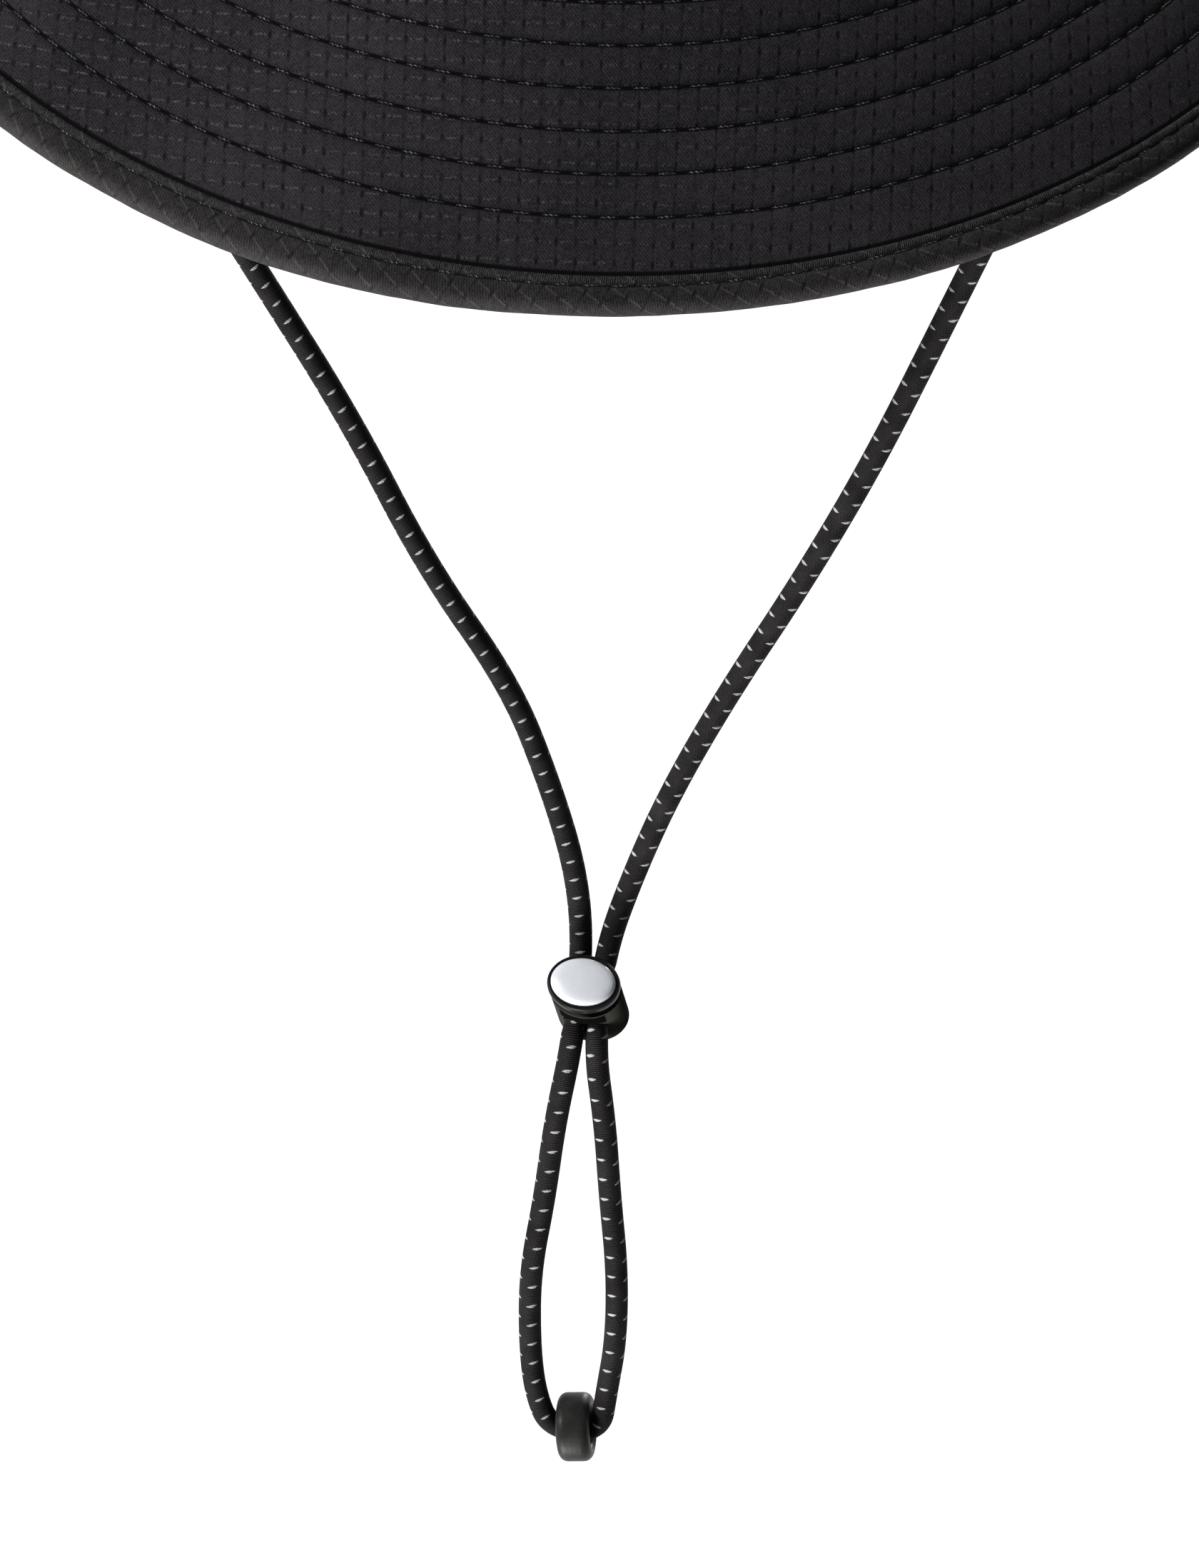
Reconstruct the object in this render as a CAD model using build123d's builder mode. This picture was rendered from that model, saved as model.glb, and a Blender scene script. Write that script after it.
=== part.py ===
from build123d import *
from math import cos, pi, radians, sin, tan
import os

# Bucket hat with a quilted brim and a sliding chin cord. Millimetres.
# The origin is the centre of the head opening, in the plane where the crown meets the brim.
# +Z is up through the crown, the wearer faces -Y, and the side seams are at +X and -X.

# --- driving dimensions: cloth ---------------------------------------------------------------
HEAD_HALF_WIDTH = 86.5        # crown shell outside, across the ears, at the brim join
HEAD_HALF_LENGTH = 102.5      # crown shell outside, front to back, at the brim join
CROWN_HEIGHT = 82.0           # brim join to the top of the side panels
CROWN_TAPER = 8.0             # how far the side panels lean in over that height
CROWN_DOME = 5.0              # rise of the top panel in its middle
SHELL = 0.8                   # ripstop shell cloth
LINING = 0.5                  # lining cloth
TAPE = 0.5                    # seam tapes
SWEATBAND = 1.6               # padded sweatband
SWEATBAND_HEIGHT = 34.0
PLY_GAP = 0.2                 # air between plies of the crown
TAPE_WIDTH = 12.0

BRIM_WIDTH = 58.5             # join to bound edge, along the cloth
BRIM_SLOPE_SIDE = 18.0        # degrees below level at the side seams
BRIM_SLOPE_FRONT = 47.6       # degrees below level at the front and the back
BRIM_PLY = 0.6                # upper and lower brim cloth
INTERLINING = 1.0             # stiffener between them
INTERLINING_TRIM = 1.0        # how far it stops short of the brim cloths' edge
BRIM_GAP = 0.12               # air between plies of the brim
BINDING = 0.6                 # binding cloth
BINDING_WIDTH = 5.3           # binding seen on each face of the brim
BINDING_CLEARANCE = 0.15
SEAM_GAP = 0.1                # degrees left between a front and a back ply at the side seams
BRIM_STATIONS = 10            # sections that shape half of the brim

# --- driving dimensions: metal eyelets -------------------------------------------------------
VENT_BORE = 4.6
VENT_FLANGE = 8.6
VENT_HEIGHT = 52.0            # above the brim join
VENT_ANGLE = 11.0             # degrees in front of and behind each side seam
EYELET_SHEET = 0.35           # metal thickness
EYELET_RIM = 0.7              # height of the rolled rim over the cloth
EYELET_CLEARANCE = 0.1
WASHER_GAP = 0.45             # behind the cloth, which curves away from a flat washer

CORD_EYELET_BORE = 5.0
CORD_EYELET_FLANGE = 10.0
CORD_EYELET_REACH = 17.6      # from the brim join, along the cloth, between two stitch rows
CORD_EYELET_ANGLE = 8.0       # degrees in front of each side seam

# --- driving dimensions: chin cord, lock and bead --------------------------------------------
CORD = 4.0                    # round elastic
CORD_SPACING = 4.3            # the two runs side by side in the lock
CORD_CLEARANCE = 0.3
KNOT = 9.0
KNOT_HEIGHT = 7.0
KNOT_SEAT = 3.0               # cord length between the brim's upper face and the knot
KNOT_ROUND = 2.6

LOCK_WIDTH = 14.2
LOCK_HEIGHT = 11.4
LOCK_FRONT = 4.8              # from the cord bore's middle to the barrel's mouth
LOCK_WALL = 1.35
LOCK_FLOOR = 1.2
LOCK_RISE = 53.0              # degrees that the lock's axis points above level
LOCK_TURN = 11.5              # degrees that it points towards -X
LOCK_BORE_LEAN = 38.0         # degrees that the cords lean back in the bore
LOCK_BORE_SKEW = 4.5          # degrees that they lean towards +X
BORE_RUN = 9.15               # from the lock's middle to where the cords turn back to upright
LOCK_BEND = 14.0              # radius that the lock's mouths bend the cords to
LOCK_TRAVEL = 2.2
LOCK_RUN = 0.2                # clearance between plunger and barrel
LOCK_CAP = 2.0
LOCK_CAP_GAP = 0.2            # between cap and barrel when pressed home
LOCK_ROUND = 1.0
CAP_ROUND = 0.5
PLUNGER_WEB = 0.9             # plunger left behind its slot
DOME_WIDTH = 12.9
DOME_HEIGHT = 9.9
DOME_RISE = 1.6               # of the white dome over the cap
DOME_SEAT = 0.8
DOME_ROUND = 1.5
DOME_CLEARANCE = 0.1
SPRING_ROOM = 4.6             # between plunger and barrel floor at rest
SPRING_WIRE = 0.6
SPRING_RADIUS = 2.7
SPRING_TURNS = 3.0
SPRING_CLEARANCE = 0.1

BEAD = 13.0
BEAD_LENGTH = 6.9
BEAD_BORE = 8.2
BEAD_ROUND = 1.4
BEAD_MOUTH = 0.9
BEAD_TURN = 5.4               # degrees that its axis turns towards -Y
BEAD_LEAN = 7.3               # degrees that its axis points above level
BEAD_CENTRE = (5.1, -6.0, -378.9)

LOCK_CENTRE = (4.6, 0.0, -278.0)

os.makedirs("parts", exist_ok=True)


def write(part, name):
    part.label = name
    export_step(part, "parts/" + name + ".step")


# --- crown -----------------------------------------------------------------------------------
def crown_inset(height):
    """How far the side panels have leaned in at a height."""
    return CROWN_TAPER * height / CROWN_HEIGHT


def crown_ring(outer, inner, low, high):
    """A tapered oval band, from one depth below the shell's outer face to another."""
    with BuildPart() as band:
        for depth, mode in ((outer, Mode.ADD), (inner, Mode.SUBTRACT)):
            for height in (low, high):
                inset = depth + crown_inset(height)
                with BuildSketch(Plane.XY.offset(height)):
                    Ellipse(HEAD_HALF_WIDTH - inset, HEAD_HALF_LENGTH - inset)
            loft(ruled=True, mode=mode)
    return band


def dome_shell(depth, thickness, base):
    """A thin oval dome on a level edge, cut from a ball and stretched."""
    half_width = HEAD_HALF_WIDTH - CROWN_TAPER - depth
    half_length = HEAD_HALF_LENGTH - CROWN_TAPER - depth
    opening = 53.0            # degrees of the ball from its pole to the dome's edge
    edge, crest = sin(radians(opening)), 1 - cos(radians(opening))
    with BuildPart() as cap:
        with BuildSketch(Plane.XZ):
            with BuildLine():
                CenterArc((0, crest - 1), 1, 90 - opening, opening)
                Line((0, crest), (0, 0))
                Line((0, 0), (edge, 0))
            make_face()
        revolve(axis=Axis.Z)
    stretch = (half_width / edge, half_length / edge, CROWN_DOME / crest)
    solid = scale(cap.part, by=stretch)
    with BuildPart() as dome:
        with Locations((0, 0, base)):
            add(solid)
        with Locations((0, 0, base - thickness)):
            add(solid, mode=Mode.SUBTRACT)
    return dome


TOP_PANEL_BASE = CROWN_HEIGHT
crown_top_panel = dome_shell(0, SHELL, TOP_PANEL_BASE)
write(crown_top_panel.part, "crown_top_panel")

lining_depth = SHELL + PLY_GAP
crown_lining_top = dome_shell(lining_depth, LINING, TOP_PANEL_BASE - SHELL - PLY_GAP)
write(crown_lining_top.part, "crown_lining_top")


def vent_plane(side, turn):
    """A plane on the crown's outer face at a vent, looking outwards."""
    inset = crown_inset(VENT_HEIGHT)
    half_width, half_length = HEAD_HALF_WIDTH - inset, HEAD_HALF_LENGTH - inset
    x, y = side * half_width * cos(radians(turn)), half_length * sin(radians(turn))
    lean = CROWN_TAPER / CROWN_HEIGHT
    outward = Vector(x / half_width**2, y / half_length**2, 0).normalized()
    return Plane(origin=(x, y, VENT_HEIGHT), z_dir=outward + Vector(0, 0, lean))


VENTS = [vent_plane(side, turn) for side in (-1, 1) for turn in (-VENT_ANGLE, VENT_ANGLE)]
vent_hole = VENT_BORE / 2 + EYELET_SHEET + EYELET_CLEARANCE
vent_depth = SHELL + PLY_GAP + LINING

SIDE_FOOT = 0.3               # the side panels start just above the brim
side_band = crown_ring(0, SHELL, SIDE_FOOT, CROWN_HEIGHT)
for side, shift, keep in (("front", 0.5, Keep.TOP), ("back", -0.5, Keep.BOTTOM)):
    with BuildPart() as panel:
        add(side_band.part)
        split(bisect_by=Plane.XZ.offset(shift * PLY_GAP), keep=keep)
        for plane in VENTS:
            with BuildSketch(plane):
                Circle(vent_hole)
            extrude(amount=vent_depth, both=True, mode=Mode.SUBTRACT)
    write(panel.part, "crown_side_" + side)

lining_top = CROWN_HEIGHT - SHELL - PLY_GAP - LINING
with BuildPart() as crown_lining_side:
    add(crown_ring(lining_depth, lining_depth + LINING, SIDE_FOOT, lining_top).part)
    for plane in VENTS:
        with BuildSketch(plane):
            Circle(vent_hole)
        extrude(amount=2 * vent_depth, both=True, mode=Mode.SUBTRACT)
write(crown_lining_side.part, "crown_lining_side")

# Tapes sewn over the two side seams, inside the lining, above the sweatband.
tape_depth = lining_depth + LINING + PLY_GAP
TAPE_CLEARANCE = 3.0           # from the sweatband up to the tapes
TAPE_TRIM = 1.0                # that the tapes stop short of the top seam
with BuildPart() as side_seam_tapes:
    add(crown_ring(tape_depth, tape_depth + TAPE, SWEATBAND_HEIGHT + TAPE_CLEARANCE,
                   lining_top - TAPE_TRIM).part)
    with BuildSketch(Plane.XY):
        Rectangle(3 * HEAD_HALF_WIDTH, TAPE_WIDTH)
    extrude(amount=CROWN_HEIGHT, mode=Mode.INTERSECT)
write(side_seam_tapes.part, "side_seam_tapes")

# The tape that covers the brim join, and the sweatband over it.
brim_join_tape = crown_ring(tape_depth, tape_depth + TAPE, 0.6, TAPE_WIDTH)
write(brim_join_tape.part, "brim_join_tape")

band_depth = tape_depth + TAPE + PLY_GAP
sweatband = crown_ring(band_depth, band_depth + SWEATBAND, 0.8, SWEATBAND_HEIGHT)
write(sweatband.part, "sweatband")


# --- brim ------------------------------------------------------------------------------------
def brim_slope(angle):
    """Degrees below level at an angle around the head, 0 at +X."""
    front = sin(radians(angle)) ** 2
    return BRIM_SLOPE_SIDE + (BRIM_SLOPE_FRONT - BRIM_SLOPE_SIDE) * front


def brim_plane(angle):
    """The upright plane of one brim section: x runs outwards, y up."""
    out = (cos(radians(angle)), sin(radians(angle)), 0)
    start = (HEAD_HALF_WIDTH * out[0], HEAD_HALF_LENGTH * out[1], 0)
    return Plane(origin=start, x_dir=out, z_dir=(out[1], -out[0], 0))


def brim_point(angle, reach, drop):
    """A point of a brim section: reach along the cloth, drop below its upper face."""
    slope = radians(brim_slope(angle))
    return (reach * cos(slope) - drop * sin(slope), -reach * sin(slope) - drop * cos(slope))


def brim_strip(corners, first, last):
    """A piece of brim with the section given as (reach, drop) corners."""
    with BuildPart() as strip:
        for step in range(BRIM_STATIONS):
            angle = first + (last - first) * step / (BRIM_STATIONS - 1)
            with BuildSketch(brim_plane(angle)):
                with BuildLine():
                    Polyline(*[brim_point(angle, *corner) for corner in corners], close=True)
                make_face()
        loft()
    return strip.part


def ply(near, far, top, thickness):
    """Corners of a flat ply between two reaches."""
    return [(near, top), (far, top), (far, top + thickness), (near, top + thickness)]


HALVES = {"front": (180 + SEAM_GAP, 360 - SEAM_GAP), "back": (SEAM_GAP, 180 - SEAM_GAP)}
lining_drop = BRIM_PLY + BRIM_GAP
lower_drop = lining_drop + INTERLINING + BRIM_GAP
brim_thickness = lower_drop + BRIM_PLY


def cord_eyelet_plane(side):
    """A plane on the brim's upper face at a cord eyelet, looking up."""
    angle = 180 + CORD_EYELET_ANGLE if side < 0 else 360 - CORD_EYELET_ANGLE
    slope = radians(brim_slope(angle))
    upright = brim_plane(angle)
    origin = upright.from_local_coords(Vector(*brim_point(angle, CORD_EYELET_REACH, 0)))
    up = upright.x_dir * sin(slope) + Vector(0, 0, cos(slope))
    return Plane(origin=origin, x_dir=(0, 1, 0), z_dir=up)


CORD_EYELETS = [cord_eyelet_plane(side) for side in (-1, 1)]
cord_hole = CORD_EYELET_BORE / 2 + EYELET_SHEET + EYELET_CLEARANCE


def pierce_cord_holes():
    """Cuts both cord eyelet holes through the piece being built."""
    for plane in CORD_EYELETS:
        with BuildSketch(plane) as hole:
            Circle(cord_hole)
        extrude(hole.sketch, amount=2 * brim_thickness, both=True, mode=Mode.SUBTRACT)


for side, (first, last) in HALVES.items():
    for name, top in (("brim_upper_", 0.0), ("brim_lower_", lower_drop)):
        with BuildPart() as brim_ply:
            add(brim_strip(ply(0, BRIM_WIDTH, top, BRIM_PLY), first, last))
            pierce_cord_holes()
        write(brim_ply.part, name + side)

with BuildPart() as brim_interlining:
    for first, last in ((180, 360), (0, 180)):
        add(brim_strip(ply(0, BRIM_WIDTH - INTERLINING_TRIM, lining_drop, INTERLINING), first, last))
    pierce_cord_holes()
write(brim_interlining.part, "brim_interlining")

binding_inner = BRIM_WIDTH + BINDING_CLEARANCE
binding_start = BRIM_WIDTH - BINDING_WIDTH
binding_top = -BINDING_CLEARANCE
binding_bottom = brim_thickness + BINDING_CLEARANCE
binding_corners = [
    (binding_start, binding_top),
    (binding_inner, binding_top),
    (binding_inner, binding_bottom),
    (binding_start, binding_bottom),
    (binding_start, binding_bottom + BINDING),
    (binding_inner + BINDING, binding_bottom + BINDING),
    (binding_inner + BINDING, binding_top - BINDING),
    (binding_start, binding_top - BINDING),
]
with BuildPart() as edge_binding:
    for first, last in ((180, 360), (0, 180)):
        add(brim_strip(binding_corners, first, last))
write(edge_binding.part, "edge_binding")


# --- eyelets and washers ---------------------------------------------------------------------
def eyelet(bore, flange, depth):
    """A metal eyelet: rolled flange on the outer face, barrel through the cloth."""
    inner, outer = bore / 2, bore / 2 + EYELET_SHEET
    with BuildPart() as ring:
        with BuildSketch(Plane.XZ):
            with BuildLine():
                Polyline((inner, EYELET_RIM), (flange / 2 - EYELET_RIM / 2, EYELET_RIM),
                         (flange / 2, EYELET_CLEARANCE), (outer, EYELET_CLEARANCE),
                         (outer, -depth), (inner, -depth), close=True)
            make_face()
        revolve(axis=Axis.Z)
    return ring.part


def washer(bore, flange, depth):
    """The washer that the eyelet's barrel is spread over, behind the cloth."""
    with BuildPart() as ring:
        with BuildSketch(Plane.XY.offset(-depth)):
            Circle(flange / 2)
            Circle(bore / 2 + EYELET_SHEET + EYELET_CLEARANCE, mode=Mode.SUBTRACT)
        extrude(amount=-EYELET_SHEET)
    return ring.part


def place_all(piece, planes):
    """Copies of one piece on several planes."""
    with BuildPart() as group:
        for plane in planes:
            with Locations(plane.location):
                add(piece)
    return group.part


vent_back = vent_depth + WASHER_GAP
vent_barrel = vent_back + 3 * EYELET_SHEET
write(place_all(eyelet(VENT_BORE, VENT_FLANGE, vent_barrel), VENTS), "vent_eyelets")
write(place_all(washer(VENT_BORE, VENT_FLANGE, vent_back), VENTS), "vent_washers")

cord_back = brim_thickness + WASHER_GAP
cord_barrel = cord_back + 3 * EYELET_SHEET
cord_flange = CORD_EYELET_FLANGE
write(place_all(eyelet(CORD_EYELET_BORE, cord_flange, cord_barrel), CORD_EYELETS), "cord_eyelets")
write(place_all(washer(CORD_EYELET_BORE, cord_flange, cord_back), CORD_EYELETS), "cord_washers")


# --- chin cord -------------------------------------------------------------------------------
# One length of elastic: down from the left knot, through the lock, round the bead, and back.
CORD_STEM = 13.0              # straight run below the eyelet
left_top = CORD_EYELETS[0].from_local_coords((0, 0, KNOT_SEAT))
left_stem = CORD_EYELETS[0].from_local_coords((0, 0, -CORD_STEM))
right_top = CORD_EYELETS[1].from_local_coords((0, 0, KNOT_SEAT))
right_stem = CORD_EYELETS[1].from_local_coords((0, 0, -CORD_STEM))

lean, skew = radians(LOCK_BORE_LEAN), radians(LOCK_BORE_SKEW)
bore_run = Vector(sin(skew), sin(lean) * cos(skew), cos(lean) * cos(skew))
bore_plane = Plane(origin=LOCK_CENTRE, x_dir=Vector(1, 0, 0).cross(bore_run).cross(-bore_run),
                   z_dir=bore_run)


def bore_corner(side, end):
    """Where one run of cord turns, above (1) or below (-1) the lock."""
    return bore_plane.from_local_coords((side * CORD_SPACING / 2, 0, end * BORE_RUN))


CORD_ROUTE = [
    left_top,
    left_stem,
    (-92.5, -14.2, -42.0),
    (-84.6, -11.6, -66.0),
    (-73.9, -8.8, -90.0),
    (-60.8, -6.0, -114.6),
    (-43.4, -3.4, -146.8),
    (-28.7, -0.8, -180.0),
    (-12.2, 1.6, -207.5),
    (-4.0, 3.6, -231.5),
    (1.5, 4.8, -252.0),
    bore_corner(-1, 1),
    bore_corner(-1, -1),
    (-1.1, -6.0, -303.5),
    (-2.7, -6.2, -322.0),
    (-5.1, -6.3, -340.0),
    (-4.8, -6.2, -357.5),
    (-3.4, -6.1, -370.2),
    (-0.2, -5.6, -379.8),
    (10.0, -6.5, -379.5),
    (11.0, -6.1, -369.8),
    (12.5, -6.2, -356.5),
    (12.2, -6.3, -339.0),
    (10.2, -6.2, -321.0),
    (8.7, -6.0, -303.5),
    bore_corner(1, -1),
    bore_corner(1, 1),
    (12.4, 4.8, -252.0),
    (19.1, 3.6, -231.5),
    (29.4, 1.6, -207.0),
    (42.2, -0.8, -180.5),
    (54.4, -3.2, -152.0),
    (66.0, -6.0, -119.5),
    (76.0, -8.8, -91.0),
    (84.6, -11.6, -66.5),
    (93.2, -14.2, -42.0),
    right_stem,
    right_top,
]
# Corners of the route above and below the lock, counted without the route's two ends.
bore_corners = [place for place, point in enumerate(CORD_ROUTE[1:-1])
                if isinstance(point, Vector) and point not in (left_stem, right_stem)]


def route_radii(route):
    """The largest even arc at each corner of a route."""
    points = [Vector(*point) if isinstance(point, tuple) else point for point in route]
    radii = []
    for before, here, after in zip(points, points[1:], points[2:]):
        arriving, leaving = here - before, after - here
        turn = radians(arriving.get_angle(leaving))
        radii.append(0.45 * min(arriving.length, leaving.length) / tan(turn / 2))
    return radii


cord_radii = route_radii(CORD_ROUTE)
for corner in bore_corners:
    cord_radii[corner] = LOCK_BEND
with BuildPart() as chin_cord:
    with BuildLine() as cord_line:
        FilletPolyline(*CORD_ROUTE, radius=cord_radii)
    with BuildSketch(Plane(origin=cord_line.line @ 0, z_dir=cord_line.line % 0)):
        Circle(CORD / 2)
    sweep()
print("cord radii", [round(radius, 1) for radius in cord_radii])
cord_length = cord_line.wire().length
cord_section = pi * CORD**2 / 4
print("cord length", round(cord_length, 1), "volume over section times length",
      round(chin_cord.part.volume / (cord_section * cord_length), 5))
write(chin_cord.part, "chin_cord")

with BuildPart() as knot:
    Cylinder(KNOT / 2, KNOT_HEIGHT, align=(Align.CENTER, Align.CENTER, Align.MIN))
    fillet(knot.edges(), KNOT_ROUND)
knot_planes = [plane.offset(KNOT_SEAT) for plane in CORD_EYELETS]
write(place_all(knot.part, knot_planes), "cord_knots")


# --- cord lock -------------------------------------------------------------------------------
# A spring barrel: the plunger's slot and the barrel's bore pinch both cords until the cap is
# pressed. Lengths along the lock are counted from the bore's middle, towards the cap.
rise, turn = radians(LOCK_RISE), radians(LOCK_TURN)
lock_axis = Vector(-cos(rise) * sin(turn), -cos(rise) * cos(turn), sin(rise))
lock_plane = Plane(origin=LOCK_CENTRE, x_dir=(cos(turn), -sin(turn), 0), z_dir=lock_axis)

bore_width = CORD_SPACING + CORD + 2 * CORD_CLEARANCE
bore_height = CORD + 2 * CORD_CLEARANCE
bore_slant = rise - lean

slot_travel = LOCK_TRAVEL * cos(bore_slant)
plunger_width = LOCK_WIDTH - 2 * LOCK_WALL - 2 * LOCK_RUN
plunger_height = LOCK_HEIGHT - 2 * LOCK_WALL - 2 * LOCK_RUN
slot_back = bore_height / 2 / cos(bore_slant) + plunger_height / 2 * tan(bore_slant)
plunger_back = -slot_back - PLUNGER_WEB
barrel_floor = plunger_back - SPRING_ROOM
barrel_back = barrel_floor - LOCK_FLOOR
cap_back = LOCK_FRONT + LOCK_TRAVEL + LOCK_CAP_GAP
cap_front = cap_back + LOCK_CAP


def oval_block(back, front, width, height, mode=Mode.ADD):
    """An oval length of the lock."""
    with BuildSketch(lock_plane.offset(back)) as oval:
        Ellipse(width / 2, height / 2)
    extrude(oval.sketch, amount=front - back, mode=mode)


def cord_slot(shift, height):
    """Cuts the cords' passage, with its middle shifted towards the cap."""
    with BuildSketch(bore_plane) as slot:
        with Locations((0, -shift)):
            RectangleRounded(bore_width, height, bore_height / 2 - 0.01)
    extrude(slot.sketch, amount=LOCK_WIDTH, both=True, mode=Mode.SUBTRACT)


with BuildPart() as cord_lock_barrel:
    oval_block(barrel_back, LOCK_FRONT, LOCK_WIDTH, LOCK_HEIGHT)
    fillet(cord_lock_barrel.edges().group_by(Axis((0, 0, 0), lock_axis))[0], LOCK_ROUND)
    oval_block(barrel_floor, LOCK_FRONT, LOCK_WIDTH - 2 * LOCK_WALL,
               LOCK_HEIGHT - 2 * LOCK_WALL, Mode.SUBTRACT)
    cord_slot(0, bore_height)
write(cord_lock_barrel.part, "cord_lock_barrel")

with BuildPart() as cord_lock_plunger:
    oval_block(cap_back, cap_front, LOCK_WIDTH, LOCK_HEIGHT)
    fillet(cord_lock_plunger.edges().group_by(Axis((0, 0, 0), lock_axis))[-1], CAP_ROUND)
    oval_block(plunger_back, cap_back, plunger_width, plunger_height)
    cord_slot(slot_travel / 2, bore_height + slot_travel)
    oval_block(cap_front - DOME_SEAT, cap_front, DOME_WIDTH + DOME_CLEARANCE,
               DOME_HEIGHT + DOME_CLEARANCE, Mode.SUBTRACT)
write(cord_lock_plunger.part, "cord_lock_plunger")

with BuildPart() as cord_lock_dome:
    oval_block(cap_front - DOME_SEAT, cap_front + DOME_RISE, DOME_WIDTH, DOME_HEIGHT)
    fillet(cord_lock_dome.edges().group_by(Axis((0, 0, 0), lock_axis))[-1], DOME_ROUND)
write(cord_lock_dome.part, "cord_lock_dome")

spring_foot = barrel_floor + SPRING_WIRE / 2 + SPRING_CLEARANCE
spring_height = SPRING_ROOM - SPRING_WIRE - 2 * SPRING_CLEARANCE
with BuildPart() as coil:
    with BuildLine() as coil_line:
        Helix(spring_height / SPRING_TURNS, spring_height, SPRING_RADIUS)
    with BuildSketch(Plane(origin=coil_line.line @ 0, z_dir=coil_line.line % 0)):
        Circle(SPRING_WIRE / 2)
    sweep(is_frenet=True)
with BuildPart() as cord_lock_spring:
    with Locations(lock_plane.offset(spring_foot).location):
        add(coil.part)
write(cord_lock_spring.part, "cord_lock_spring")


# --- bead ------------------------------------------------------------------------------------
bead_reach = cos(radians(BEAD_LEAN))
bead_axis = (bead_reach * cos(radians(BEAD_TURN)), -bead_reach * sin(radians(BEAD_TURN)),
             sin(radians(BEAD_LEAN)))
bead_wall = (BEAD - BEAD_BORE) / 2
with BuildPart() as ring:
    with BuildSketch(Plane.XZ):
        with Locations(((BEAD_BORE + bead_wall) / 2, 0)):
            section = Rectangle(bead_wall, BEAD_LENGTH)
        fillet(section.vertices().group_by(Axis.X)[-1], BEAD_ROUND)
        fillet(section.vertices().group_by(Axis.X)[0], BEAD_MOUTH)
    revolve(axis=Axis.Z)
with BuildPart() as cord_bead:
    with Locations(Plane(origin=BEAD_CENTRE, z_dir=bead_axis).location):
        add(ring.part)
write(cord_bead.part, "cord_bead")

print("lock axis", [round(value, 4) for value in lock_axis],
      "cap front", round(cap_front, 2), "barrel back", round(barrel_back, 2))
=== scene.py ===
from math import cos, exp, pi, radians, sin, tau

import bmesh
import bpy
from mathutils import Matrix, Vector, noise


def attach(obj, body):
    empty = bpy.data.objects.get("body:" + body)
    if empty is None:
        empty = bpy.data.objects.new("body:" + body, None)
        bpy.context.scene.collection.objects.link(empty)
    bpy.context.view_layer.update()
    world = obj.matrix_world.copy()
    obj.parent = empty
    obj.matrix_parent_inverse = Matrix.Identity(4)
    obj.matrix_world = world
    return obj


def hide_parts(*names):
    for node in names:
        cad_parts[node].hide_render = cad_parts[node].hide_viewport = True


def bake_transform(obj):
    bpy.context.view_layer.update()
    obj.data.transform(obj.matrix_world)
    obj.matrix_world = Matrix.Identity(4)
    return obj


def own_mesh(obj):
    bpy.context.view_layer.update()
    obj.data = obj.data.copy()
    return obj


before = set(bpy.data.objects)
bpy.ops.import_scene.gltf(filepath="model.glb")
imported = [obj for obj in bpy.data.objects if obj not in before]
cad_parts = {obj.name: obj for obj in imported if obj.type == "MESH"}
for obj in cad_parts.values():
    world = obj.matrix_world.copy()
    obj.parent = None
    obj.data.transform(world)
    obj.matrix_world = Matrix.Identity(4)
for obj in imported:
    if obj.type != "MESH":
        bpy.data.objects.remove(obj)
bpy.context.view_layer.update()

# --- studio -----------------------------------------------------------------------------------
# A white room: a pale floor well below the hanging cord, soft lamps high on the left, low in
# front and behind on the right, and a long lens that looks down on the front of the brim.
MM = 0.001
scene = bpy.context.scene
scene.view_settings.view_transform = "Standard"

lens = bpy.data.cameras.new("studio_camera")
lens.sensor_fit = "HORIZONTAL"
lens.sensor_width = 36.0
lens.lens = 234.64
camera = bpy.data.objects.new("studio_camera", lens)
camera.matrix_world = (Matrix.Translation((0.0053, -1.2580, 0.5889))
                       @ Matrix.Rotation(radians(57.0), 4, "X")
                       @ Matrix.Rotation(radians(2.0), 4, "Z"))
scene.collection.objects.link(camera)
bpy.context.scene.camera = camera


def hang_lamp(name, towards, strength, width):
    """A distant lamp: the direction towards it, its strength and its width in degrees."""
    light = bpy.data.lights.new(name, "SUN")
    light.energy = strength
    light.angle = radians(width)
    lamp = bpy.data.objects.new(name, light)
    lamp.rotation_euler = Vector(towards).to_track_quat("Z", "Y").to_euler()
    scene.collection.objects.link(lamp)


hang_lamp("key_lamp", (-0.80, -0.28, 0.53), 4.35, 14.0)
hang_lamp("low_lamp", (-0.36, -0.55, -0.75), 6.5, 24.0)
hang_lamp("back_lamp", (0.30, 0.93, 0.20), 2.0, 20.0)


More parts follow.
